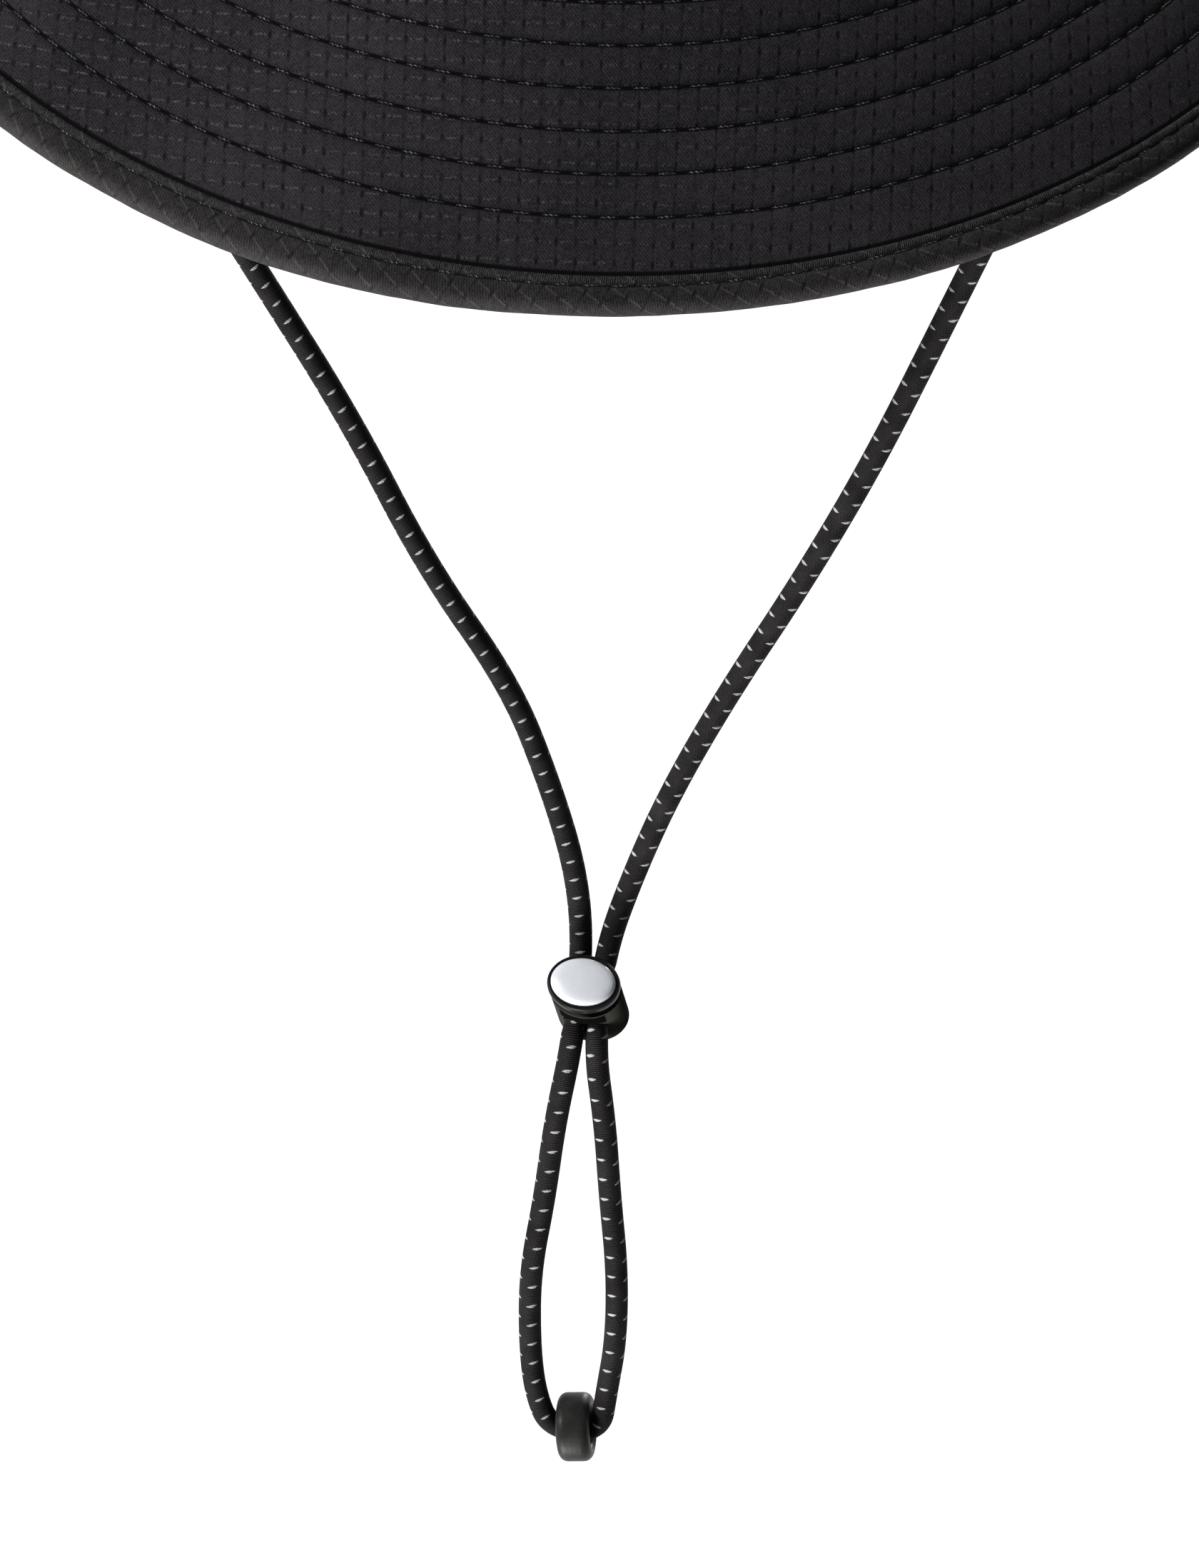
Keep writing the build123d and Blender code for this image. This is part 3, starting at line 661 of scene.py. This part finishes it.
# --- edge binding -----------------------------------------------------------------------------
# A bias strip of the same ripstop, folded in around the brim's edge and held by one row of
# stitches close to its turned inner edge, which stands up as a thin cord-like ridge.
BINDING_SECTION = ((53.75, 0.08), (53.48, 0.20), (53.38, 0.50), (53.46, 0.82), (53.75, 1.00),
                   (54.12, 0.98), (54.46, 0.74), (54.80, 0.50), (55.10, 0.56), (55.5, 0.78),
                   (56.0, 0.90), (56.7, 0.94), (57.4, 0.90), (58.1, 0.78), (58.7, 0.50),
                   (59.1, 0.10), (59.36, -0.45), (59.45, -1.22))
FOLD_REACH, FOLD_LIFT = BINDING_SECTION[-1]
BINDING_ROW = 54.8
EDGE_ROUND = 906.0
BINDING_CLOTH = 0.35 * MM
BINDING_BLACK = (0.0210, 0.0195, 0.0202, 1.0)
# Pale colour of the binding's ribs: a painted highlight on their raised threads.
BINDING_RIB_HIGHLIGHT = (0.082, 0.078, 0.076, 1.0)
GRAIN_ALONG = 0.854
GRAIN_ACROSS = 0.52
# Colour of the painted shade in the binding's grooves.
BINDING_GROOVE_SHADE = (0.0025, 0.0023, 0.0025, 1.0)
BOUND_EDGE = ((180, 59.1), (217, 59.35), (232, 59.5), (245, 59.9), (258, 59.6), (270, 59.05),
              (280, 58.8), (294, 58.7), (308, 58.4), (320, 58.25), (360, 59.1))
binding_line = list(BINDING_SECTION)
binding_line += [(reach, 2 * FOLD_LIFT - lift) for reach, lift in reversed(BINDING_SECTION[:-1])]
binding_run = [0.0]
for (near, low), (far, high) in zip(binding_line, binding_line[1:]):
    binding_run.append(binding_run[-1] + ((far - near) ** 2 + (high - low) ** 2) ** 0.5)


def bound_edge(angle):
    """How far out the folded edge lies: the strip was pulled on by hand, so its width wanders."""
    turn = (angle * 180 / pi) % 360
    for (near, low), (far, high) in zip(BOUND_EDGE, BOUND_EDGE[1:]):
        if near <= turn <= far:
            share = (turn - near) / (far - near)
            return low + (high - low) * share * share * (3 - 2 * share)
    return BOUND_EDGE[0][1]


def binding_place(u, v):
    reach, lift = binding_line[round(v * (len(binding_line) - 1))]
    angle = tau * u
    spot = Vector((cos(angle) * 30.0, sin(angle) * 30.0, reach / 2.5))
    edge = 0.4 + 0.6 * min(1.0, abs(reach - BINDING_ROW) / 2.0)
    wave = 0.12 * noise.noise(spot) * edge + 0.10 * noise.noise(spot * 0.22)
    outer = max(0.0, reach - BINDING_ROW) / (FOLD_REACH - BINDING_ROW)
    reach += outer * (bound_edge(angle) - FOLD_REACH) + wave * 0.5
    return brim_spot(angle, reach * MM, (lift + (wave if lift > FOLD_LIFT else -wave)) * MM)


def binding_flat(u, v):
    return (u * EDGE_ROUND * MM, binding_run[round(v * (len(binding_run) - 1))] * MM)


strip_cloth = Finish(bpy.data.materials.new("binding_ripstop"))
strip_along, strip_across = strip_cloth.cut_place()
colour, relief, dullness = ripstop(strip_cloth,
                                   strip_along * -GRAIN_ALONG - strip_across * GRAIN_ACROSS,
                                   strip_across * GRAIN_ALONG - strip_along * GRAIN_ACROSS,
                                   BINDING_BLACK, BINDING_RIB_HIGHLIGHT, 0.45, 0.6)
half_run = binding_run[-1] / 2
from_middle = abs(strip_across - half_run)
ridge_part = (from_middle.ease(half_run - 2.0, half_run - 1.7)
              * from_middle.ease(half_run - 0.5, half_run - 0.9))
cross_threads = ((strip_along + strip_across * 0.25) * (tau / 0.42)).wave()
threads = strip_cloth.grain(0.4, 2.0)
# Painted highlight on the cross-threads of the binding's raised ridge.
ridge_highlight = ridge_part * cross_threads.ease(0.1, 0.9) * threads.ease(0.40, 0.60)
colour = strip_cloth.tint(ridge_highlight * 0.5, colour, (0.095, 0.091, 0.091, 1.0))
# Painted shade where the turned inner edge tucks in beside the ridge.
tucked_edge_shade = from_middle.ease(half_run - 0.75, half_run - 0.45)
colour = strip_cloth.tint(tucked_edge_shade * 0.9, colour, BINDING_GROOVE_SHADE)
# Painted shade along the stitch groove of the binding's seam.
seam_groove_shade = abs(from_middle - (half_run - 2.55)).ease(0.46, 0.20)
colour = strip_cloth.tint(seam_groove_shade * 0.8, colour, BINDING_GROOVE_SHADE)
# The rolled outer edge: its fuzzy filaments are lightened with a painted highlight.
rolled = from_middle.ease(3.3, 1.8)
filaments = ((strip_along + strip_across * 0.1) * (tau / 0.36)).wave() * 0.5 + threads
colour = strip_cloth.tint(rolled * filaments.ease(0.2, 1.2) * 0.65, colour,
                          (0.047, 0.043, 0.040, 1.0))
relief += ridge_part * cross_threads * 0.03 + rolled * filaments * 0.02
binding_ripstop = strip_cloth.coat(colour, dullness, relief, Specular_IOR_Level=0.04)
binding = lay_cloth(900, len(binding_line) - 1, binding_flat, binding_place)
sewn_in("brim_binding", binding, binding_ripstop, ["edge_binding"],
        thick=BINDING_CLOTH, outward=upwards)

# --- stitching --------------------------------------------------------------------------------
# Black twisted thread in long lockstitches: six rows through the brim, one through the binding,
# two beside each crown seam. Each stitch bites into the cloth at both ends.
PITCH = 4.75 * MM
STITCH = (3.1 * MM, 0.46 * MM, 0.40 * MM)
BRIM_THREAD_LIFT = 0.08 * MM
BINDING_THREAD_LIFT = 0.93 * MM
CROWN_PITCH = 3.4 * MM
CROWN_STITCH = (2.7 * MM, 0.55 * MM, 0.42 * MM)
CROWN_THREAD_LIFT = 0.10 * MM
RIM_THREAD_LIFT = 0.12 * MM
thread = Finish(bpy.data.materials.new("black_thread"))
round_thread, along_stitch = [value * MM for value in thread.cut_place()]
strand = ((along_stitch * 5.0 + round_thread) * tau).wave()
glint = strand.ease(0.35, 0.9)
fluff = thread.grain(0.3)
thread_black = thread.tint(glint * fluff.ease(0.42, 0.62), (0.006, 0.0055, 0.006, 1.0),
                           (0.21, 0.205, 0.205, 1.0))
thread_finish = thread.coat(thread_black, 0.5, strand * 0.05, Specular_IOR_Level=0.15)


def sew_row(group, line, pitch, size, steps=900):
    """Stitches along line(t, lift), each of a size: its length, its width and its height."""
    fine = [line(step / steps, 0.0) for step in range(steps + 1)]
    runs = [0.0]
    for near, far in zip(fine, fine[1:]):
        runs.append(runs[-1] + (far - near).length)
    count = round(runs[-1] / pitch)
    row = bmesh.new()
    row.loops.layers.uv.new("cut")
    mark = 0
    for stitch in range(count):
        middle = (stitch + 0.5) * runs[-1] / count
        while runs[mark + 1] < middle:
            mark += 1
        share = (middle - runs[mark]) / (runs[mark + 1] - runs[mark])
        t = (mark + share) / steps
        spot = line(t, 0.0)
        along = (fine[mark + 1] - fine[mark]).normalized()
        up = (line(t, MM) - spot).normalized()
        side = along.cross(up)
        turn = Matrix((side * size[1] / 2, up * size[2] / 2, along * size[0] / 2)).transposed()
        bmesh.ops.create_uvsphere(row, u_segments=6, v_segments=5, radius=1.0, calc_uvs=True,
                                  matrix=Matrix.Translation(spot) @ turn.to_4x4())
    bmesh.ops.recalc_face_normals(row, faces=row.faces)
    add_to(group, row)


for face, base, way, folds in (("upper", 0.0, 1.0, 0.0),
                               ("lower", -BRIM_THICK, -1.0, UNDER_FOLDS)):

    def brim_stitch(t, lift):
        proud = quilting(tau * t + folds, row) + BRIM_THREAD_LIFT + lift
        return brim_spot(tau * t, row * MM, base + way * proud)

    def binding_stitch(t, lift):
        return brim_spot(tau * t, BINDING_ROW * MM, base + way * (BINDING_THREAD_LIFT + lift))

    brim_rows = bmesh.new()
    for row in STITCH_ROWS:
        sew_row(brim_rows, brim_stitch, PITCH, STITCH)
    sewn_in("brim_stitches_" + face, brim_rows, thread_finish,
            ["brim_%s_front" % face, "brim_%s_back" % face])
    binding_row = bmesh.new()
    sew_row(binding_row, binding_stitch, PITCH, STITCH)
    sewn_in("binding_stitches_" + face, binding_row, thread_finish,
            ["edge_binding"])


def crown_stitch(angle, height, lift):
    return crown_spot(angle, height, crown_slack(angle, height) + CROWN_THREAD_LIFT + lift)


def rim_stitch(t, lift):
    spot = top_place(t, 1 - 3.4 / TOP_REACH)
    return spot + Vector((0.0, 0.0, lift + RIM_THREAD_LIFT))


crown_rows = bmesh.new()
for level in (3.2 * MM, CROWN_HEIGHT - 5.0 * MM):
    sew_row(crown_rows, lambda t, lift: crown_stitch(tau * t, level, lift), CROWN_PITCH,
            CROWN_STITCH)
for middle in (0.0, pi):
    for beside in (1.6 * MM, 6.2 * MM):
        seam = middle + beside / HALF_LENGTH
        sew_row(crown_rows, lambda t, lift: crown_stitch(seam, (6 + 68 * t) * MM, lift),
                CROWN_PITCH, CROWN_STITCH)
sew_row(crown_rows, rim_stitch, CROWN_PITCH, CROWN_STITCH)
sewn_in("crown_stitches", crown_rows, thread_finish,
        ["crown_side_front", "crown_side_back", "crown_top_panel"])

# --- eyelets ----------------------------------------------------------------------------------
# Six two-part eyelets of blackened brass: a rolled flange outside with a barrel through the
# cloth, set over a flat washer inside. Four are vents, two pass the chin cord through the brim.


def turned(section, steps=40):
    """A closed ring or knob turned about Z from a section of (radius, height) in millimetres."""
    form = bmesh.new()
    cut = form.loops.layers.uv.new("cut")
    corners = [form.verts.new((radius * MM, 0.0, height * MM)) for radius, height in section]
    if section[0][0] > 0:
        pairs = list(zip(corners, corners[1:] + corners[:1]))
    else:
        pairs = list(zip(corners, corners[1:]))
    edges = [form.edges.new(pair) for pair in pairs]
    bmesh.ops.spin(form, geom=corners + edges, cent=(0, 0, 0), axis=(0, 0, 1), angle=tau,
                   steps=steps, use_merge=True)
    bmesh.ops.remove_doubles(form, verts=form.verts, dist=0.001 * MM)
    bmesh.ops.recalc_face_normals(form, faces=form.faces)
    for face in form.faces:
        for loop in face.loops:
            loop[cut].uv = loop.vert.co.xy
    return form


def set_at(form, places):
    """One form repeated at several places."""
    pattern = bpy.data.meshes.new("pattern")
    form.to_mesh(pattern)
    form.free()
    group = bmesh.new()
    for place in places:
        first = len(group.verts)
        group.from_mesh(pattern)
        group.verts.ensure_lookup_table()
        bmesh.ops.transform(group, matrix=place, verts=group.verts[first:])
    bpy.data.meshes.remove(pattern)
    return group


def eyelet_section(bore, flange, depth):
    inner, outer = bore / 2, flange / 2
    return ((inner, -depth), (inner, 0.25), (inner + 0.12, 0.62), (inner + 0.45, 0.86),
            (inner + 0.95, 0.90), (outer - 0.5, 0.62), (outer - 0.12, 0.40), (outer, 0.24),
            (outer - 0.05, 0.12), (inner + 0.35, 0.12), (inner + 0.35, -depth))


def washer_section(bore, flange, depth):
    inner, outer = bore / 2 + 0.45, flange / 2
    return ((inner, -depth), (outer - 0.15, -depth), (outer, -depth - 0.12),
            (outer - 0.1, -depth - 0.35), (inner + 0.5, -depth - 0.45), (inner, -depth - 0.35))


brass = Finish(bpy.data.materials.new("blackened_brass"))
tarnish = brass.grain(1.6, 4.0)
scuff = brass.grain(0.25, 2.0)
brass_colour = brass.tint(tarnish.ease(0.3, 0.75), (0.045, 0.043, 0.042, 1.0),
                          (0.12, 0.112, 0.10, 1.0))
brass_finish = brass.coat(brass_colour, tarnish * 0.25 + 0.22, scuff * 0.01, Metallic=0.9)
for name, bore, flange, barrel, washer, seats in (("vent", 4.6, 8.6, 3.0, 1.95, vent_seats),
                                                  ("cord", 5.0, 10.0, 3.9, 2.89, cord_seats)):
    sewn_in(name + "_rings", set_at(turned(eyelet_section(bore, flange, barrel)), seats),
            brass_finish, [name + "_eyelets"])
    sewn_in(name + "_rings_inside", set_at(turned(washer_section(bore, flange, washer)), seats),
            brass_finish, [name + "_washers"])

# --- chin cord --------------------------------------------------------------------------------
# One shock cord: a rubber core in a tight wound cover of black yarn with four rows of pale
# reflective flecks. It hangs from both brim holes, runs through the lock and loops in the bead.
CORD = 4.5 * MM
RIDGE = 0.40 * MM
RIDGE_RISE = 0.025 * MM
CORD_SIDES = 20
LOCK_PINCH = 0.3 * MM
PINCH_FADE = 2.5 * MM
LEFT_ROUTE = (
    (-0.10313, -0.01672, -0.00276), (-0.09808, -0.01601, -0.01793), (-0.0925, -0.0142, -0.0420),
    (-0.0846, -0.0116, -0.0660), (-0.0739, -0.0088, -0.0900), (-0.0608, -0.0060, -0.1146),
    (-0.0434, -0.0034, -0.1468), (-0.0287, -0.0008, -0.1800), (-0.0122, 0.0016, -0.2075),
    (-0.0040, 0.0036, -0.2315), (0.0015, 0.0048, -0.2520), (0.00317, 0.00572, -0.27068),
    (0.002455, 0.000105, -0.27787))
RIGHT_ROUTE = (
    (0.10313, -0.01672, -0.00276), (0.09808, -0.01601, -0.01793), (0.0932, -0.0142, -0.0420),
    (0.0846, -0.0116, -0.0665), (0.0760, -0.0088, -0.0910), (0.0660, -0.0060, -0.1195),
    (0.0544, -0.0032, -0.1520), (0.0422, -0.0008, -0.1805), (0.0294, 0.0016, -0.2070),
    (0.0191, 0.0036, -0.2315), (0.0124, 0.0048, -0.2520), (0.00746, 0.00551, -0.27094),
    (0.006745, -0.000105, -0.27813))
LOOP_ROUTE = (
    (0.002455, 0.000105, -0.27787), (0.00174, -0.00551, -0.28506), (-0.0011, -0.0060, -0.3035),
    (-0.0027, -0.0062, -0.3220), (-0.0051, -0.0063, -0.3400), (-0.0048, -0.0062, -0.3575),
    (-0.0034, -0.0061, -0.3702), (-0.0002, -0.0056, -0.3798), (0.0100, -0.0065, -0.3795),
    (0.0110, -0.0061, -0.3698), (0.0125, -0.0062, -0.3565), (0.0122, -0.0063, -0.3390),
    (0.0102, -0.0062, -0.3210), (0.0087, -0.0060, -0.3035), (0.00603, -0.00572, -0.28532),
    (0.006745, -0.000105, -0.27813))


def cord_line(route, spacing):
    """Evenly spaced points along the smooth spline that the route's points pull."""
    curve = bpy.data.curves.new("route", "CURVE")
    curve.dimensions = "3D"
    curve.resolution_u = 24
    spline = curve.splines.new("NURBS")
    spline.points.add(len(route) - 1)
    for point, place in zip(spline.points, route):
        point.co = (*place, 1.0)
    spline.order_u = 3
    spline.use_endpoint_u = True
    holder = bpy.data.objects.new("route", curve)
    drawn = bpy.data.meshes.new_from_object(holder)
    points = [vert.co.copy() for vert in drawn.vertices]
    bpy.data.meshes.remove(drawn)
    bpy.data.objects.remove(holder)
    runs = [0.0]
    for near, far in zip(points, points[1:]):
        runs.append(runs[-1] + (far - near).length)
    count = 2 * round(runs[-1] / spacing / 2)
    line, mark = [], 0
    for step in range(count + 1):
        here = runs[-1] * step / count
        while mark < len(points) - 2 and runs[mark + 1] < here:
            mark += 1
        share = (here - runs[mark]) / (runs[mark + 1] - runs[mark])
        line.append(points[mark].lerp(points[mark + 1], share))
    return line, runs[-1]


def wind_cord(line, length, radius, turns, wear=1.0, pinched=()):
    """A round cord along a line, with fine ridges, and thinner at its ends pinched in the lock."""
    along = (line[1] - line[0]).normalized()
    side = along.cross(Vector((0.0, -1.0, 0.0))).normalized()
    rings = []
    for place, spot in enumerate(line):
        near, far = line[max(place - 1, 0)], line[min(place + 1, len(line) - 1)]
        ahead = (far - near).normalized()
        side = along.rotation_difference(ahead) @ side
        side = (side - ahead * side.dot(ahead)).normalized()
        along = ahead
        rings.append((spot, side, ahead.cross(side)))

    def cord_place(u, v):
        place = round(u * (len(line) - 1))
        spot, across, up = rings[place]
        reach = radius + (RIDGE_RISE if place % 2 else -RIDGE_RISE)
        for end in pinched:
            reach -= LOCK_PINCH * min(1.0, max(0.0, 3.0 - abs(u - end) * length / PINCH_FADE))
        angle = tau * v + turns[0] + (turns[1] - turns[0]) * u
        return spot + (across * cos(angle) + up * sin(angle)) * reach

    form = lay_cloth(len(line) - 1, CORD_SIDES,
                     lambda u, v: (u * length * wear, v * tau * radius), cord_place)
    bmesh.ops.holes_fill(form, edges=form.edges, sides=0)
    bmesh.ops.recalc_face_normals(form, faces=form.faces)
    return form


def flecked_cord(name):
    """The cover: black wound yarn, and pale flecks in four rows, each a quarter pitch on."""
    cover = Finish(bpy.data.materials.new(name))
    along, around = cover.cut_place()
    quarter = tau * CORD / 2 / MM / 4
    row = (around / quarter).below()
    from_row = ((around / quarter) % 1.0 - 0.5) * quarter
    pitch = 4.7
    from_fleck = ((along / pitch + row * 0.26) % 1.0 - 0.5) * pitch - from_row * 0.16
    fluff = cover.grain(0.22, 3.0)
    fray = (fluff - 0.5) * 0.4
    fleck = (abs(from_fleck) + from_row * from_row * 0.26 + fray).ease(0.38, 0.20)
    # The wound ridges lighten their crests and darken their valleys: painted highlight and painted
    # shade over the real relief.
    ridge = (along * (tau / 0.40)).wave()
    yarn = ((along * 0.5 + around * 1.2) * (tau / 0.8)).wave()
    worn = cover.grain(5.0, 3.0)
    tone = ridge * 0.32 + yarn * 0.05 + (fluff - 0.5) * 0.9 + (worn - 0.5) * 0.6 + 0.38
    colour = cover.tint(tone.ease(-0.05, 1.0), (0.0027, 0.0024, 0.0025, 1.0),
                        (0.030, 0.0275, 0.0275, 1.0))
    pale = cover.tint(fluff, (0.22, 0.245, 0.22, 1.0), (0.44, 0.475, 0.43, 1.0))
    colour = cover.tint(fleck, colour, pale)
    relief = ridge * 0.035 + yarn * 0.01 + (fluff - 0.5) * 0.05
    return cover.coat(colour, 0.6 - fleck * 0.15, relief, Specular_IOR_Level=0.02)


cord_cover = flecked_cord("flecked_cord")
strands = {}
for name, route, turns, wear, pinched in (("left", LEFT_ROUTE, (0.18, 0.86), 1.07, (1,)),
                                          ("right", RIGHT_ROUTE, (0.3, 0.3), 1.04, (1,)),
                                          ("loop", LOOP_ROUTE, (0.8, 0.15), 0.99, (0, 1))):
    line, length = cord_line(route, RIDGE / 2)
    form = wind_cord(line, length, CORD / 2, turns, wear, pinched)
    strand = sewn_in("chin_cord_" + name, form, cord_cover, ["chin_cord"], body=None)
    strands[name] = (strand, line[::4] + line[-1:], length)

# Each end is tied in an overhand knot above the brim's hole, with a short tail.
KNOT_SIZE = 1.62 * MM
KNOT_HEIGHT = 7.0 * MM
KNOT_CORD = CORD / 2 - 0.25 * MM
knots = []
for name, seat in zip(("left", "right"), cord_seats):
    route = [Vector((0.0, 0.0, 1.0 * MM))]
    for step in range(13):
        t = 0.42 + (tau - 0.84) * step / 12
        flat = (2 + cos(3 * t)) * KNOT_SIZE
        route.append(Vector((sin(3 * t) * KNOT_SIZE * 1.1, flat * sin(2 * t),
                             KNOT_HEIGHT - flat * cos(2 * t))))
    route.append(route[-1] + Vector((2.0, 4.5, 3.4)) * MM)
    line, length = cord_line([seat @ spot for spot in route], RIDGE / 2)
    form = wind_cord(line, length, KNOT_CORD, (0.2, 0.2))
    knots.append(sewn_in("end_knot_" + name, form, cord_cover, ["cord_knots"]))

for name, start, end, tied in (
        ("left", (-0.0925, -0.0142, -0.030), (0.00317, -0.0142, -0.268), knots[:1]),
        ("right", (0.0932, -0.0142, -0.030), (0.00746, -0.0142, -0.268), knots[1:]),
        ("loop", (0.005, -0.006, -0.376), (0.005, -0.006, -0.283), [])):
    strand, path, length = strands[name]
    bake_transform(strand)

# --- cord lock --------------------------------------------------------------------------------
# A spring toggle: an olive-grey moulded barrel that both cords pass through, a black plunger
# with a flat cap and a raised rim over a steel spring, and a glossy white dome set in the cap.
LOCK_CENTRE = Vector((0.0046, 0.0, -0.2780))
lock_out = Vector((-0.1200, -0.5897, 0.7986))
lock_side = Vector((0.9799, -0.1994, 0.0))
lock_seat = Matrix.Translation(LOCK_CENTRE) @ Matrix(
    (lock_side, lock_out.cross(lock_side), lock_out)).transposed().to_4x4()


def from_lock(finish, way):
    """How far a point lies from the lock's middle along one direction, in millimetres."""
    place = finish.add("ShaderNodeTexCoord", {}, {}, "Object")
    reach = finish.add("ShaderNodeVectorMath", {"operation": "DOT_PRODUCT"}, {0: place, 1: way},
                       "Value")
    return (reach - LOCK_CENTRE.dot(way)) / MM


def moulded(name, base, pale, roughness, orange_peel, slot_shade=None, **fixed):
    """Moulded plastic or rubber: slightly uneven, finely textured, and with a painted black shade
    standing for a shadowed slot opening.
    """
    plastic = Finish(bpy.data.materials.new(name))
    skin = plastic.grain(0.5, 3.0)
    cloud = plastic.grain(4.0, 3.0)
    colour = plastic.tint((cloud * 0.7 + skin * 0.3).ease(0.3, 0.75), base, pale)
    if slot_shade:
        front, half_width = slot_shade
        # Painted shade: a black patch on the lower side near the front, standing for the shadowed
        # slot opening.
        out = from_lock(plastic, lock_out)
        inside = (abs(from_lock(plastic, lock_side)).ease(half_width + 0.1, half_width - 0.1)
                  * out.ease(0.5, 0.7) * out.ease(front, front - 0.2)
                  * from_lock(plastic, lock_out.cross(lock_side)).ease(-0.1, -0.5))
        colour = plastic.tint(inside, colour, (0.003, 0.003, 0.003, 1.0))
    return plastic.coat(colour, (cloud - 0.5) * 0.2 + roughness, skin * orange_peel, **fixed)


# The barrel's black patch near its front is painted shade for the slot the cords pass through.
barrel_plastic = moulded("barrel_plastic", (0.028, 0.029, 0.0242, 1.0),
                         (0.041, 0.043, 0.0362, 1.0), 0.6, 0.02, slot_shade=(4.4, 4.6),
                         Specular_IOR_Level=0.0)
plunger_plastic = moulded("plunger_plastic", (0.004, 0.004, 0.004, 1.0),
                          (0.009, 0.009, 0.009, 1.0), 0.35, 0.008, Specular_IOR_Level=0.07)
dome_plastic = moulded("dome_plastic", (0.60, 0.625, 0.66, 1.0), (0.64, 0.665, 0.70, 1.0),
                       0.28, 0.006, Specular_IOR_Level=0.4)
steel = Finish(bpy.data.materials.new("spring_wire"))
drawn_lines = steel.grain(0.3, 2.0)
wire_colour = steel.tint(drawn_lines, (0.42, 0.42, 0.43, 1.0), (0.62, 0.62, 0.63, 1.0))
wire_finish = steel.coat(wire_colour, 0.28, drawn_lines * 0.01, Metallic=1.0)
for node, finish in (("cord_lock_barrel", barrel_plastic), ("cord_lock_plunger", plunger_plastic),
                     ("cord_lock_spring", wire_finish)):
    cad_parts[node].data.materials.clear()
    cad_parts[node].data.materials.append(finish)
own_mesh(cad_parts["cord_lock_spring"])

CAP_FRONT = 9.2


def on_cap(section, narrowing):
    """A form turned from a section about the cap's front, and narrowed to the cap's oval."""
    form = turned([(radius, CAP_FRONT + height) for radius, height in section], 64)
    bmesh.ops.scale(form, vec=(1.0, narrowing, 1.0), verts=form.verts)
    bmesh.ops.transform(form, matrix=lock_seat, verts=form.verts)
    return form


rim_form = on_cap(((6.4, -0.1), (6.5, 0.1), (6.75, 0.2), (7.05, 0.05), (7.2, -0.4), (7.25, -1.2),
                   (7.15, -1.6), (6.9, -1.9), (6.5, -1.95)), 0.80)
sewn_in("lock_rim", rim_form, plunger_plastic, body="lock_button")
dome_form = on_cap(((0.0, -0.7), (6.3, -0.7), (6.42, -0.2), (6.42, 0.25), (6.28, 0.65),
                    (5.9, 1.0), (5.1, 1.3), (3.8, 1.5), (2.4, 1.62), (1.1, 1.68), (0.0, 1.7)),
                   0.755)
sewn_in("lock_dome", dome_form, dome_plastic, ["cord_lock_dome"],
        body="lock_button")

# --- bead -------------------------------------------------------------------------------------
# A charcoal rubber ring with rounded edges that the cord's loop passes through, as a weight and
# a grip. It can turn on the cord.
BEAD_CENTRE = Vector((0.0051, -0.0060, -0.3789))
bead_way = Vector((0.98749, -0.09335, 0.12706))
bead_outline = [(7.0, 0.0), (7.0, 1.6), (6.92, 2.15), (6.7, 2.62), (6.35, 3.0), (5.85, 3.3),
                (5.2, 3.45), (4.75, 3.4), (4.55, 3.22), (4.35, 3.1), (4.15, 2.85), (4.1, 2.4),
                (4.1, 0.0)]
bead_outline += [(radius, -height) for radius, height in reversed(bead_outline[1:-1])]
bead_form = turned(bead_outline, 72)
bmesh.ops.transform(bead_form, matrix=eyelet_seat(BEAD_CENTRE, bead_way), verts=bead_form.verts)
bead_rubber = moulded("bead_rubber", (0.009, 0.0088, 0.0085, 1.0), (0.022, 0.0215, 0.0205, 1.0),
                      0.42, 0.04, Specular_IOR_Level=0.09)
sewn_in("bead_ring", bead_form, bead_rubber, ["cord_bead"], body="bead")
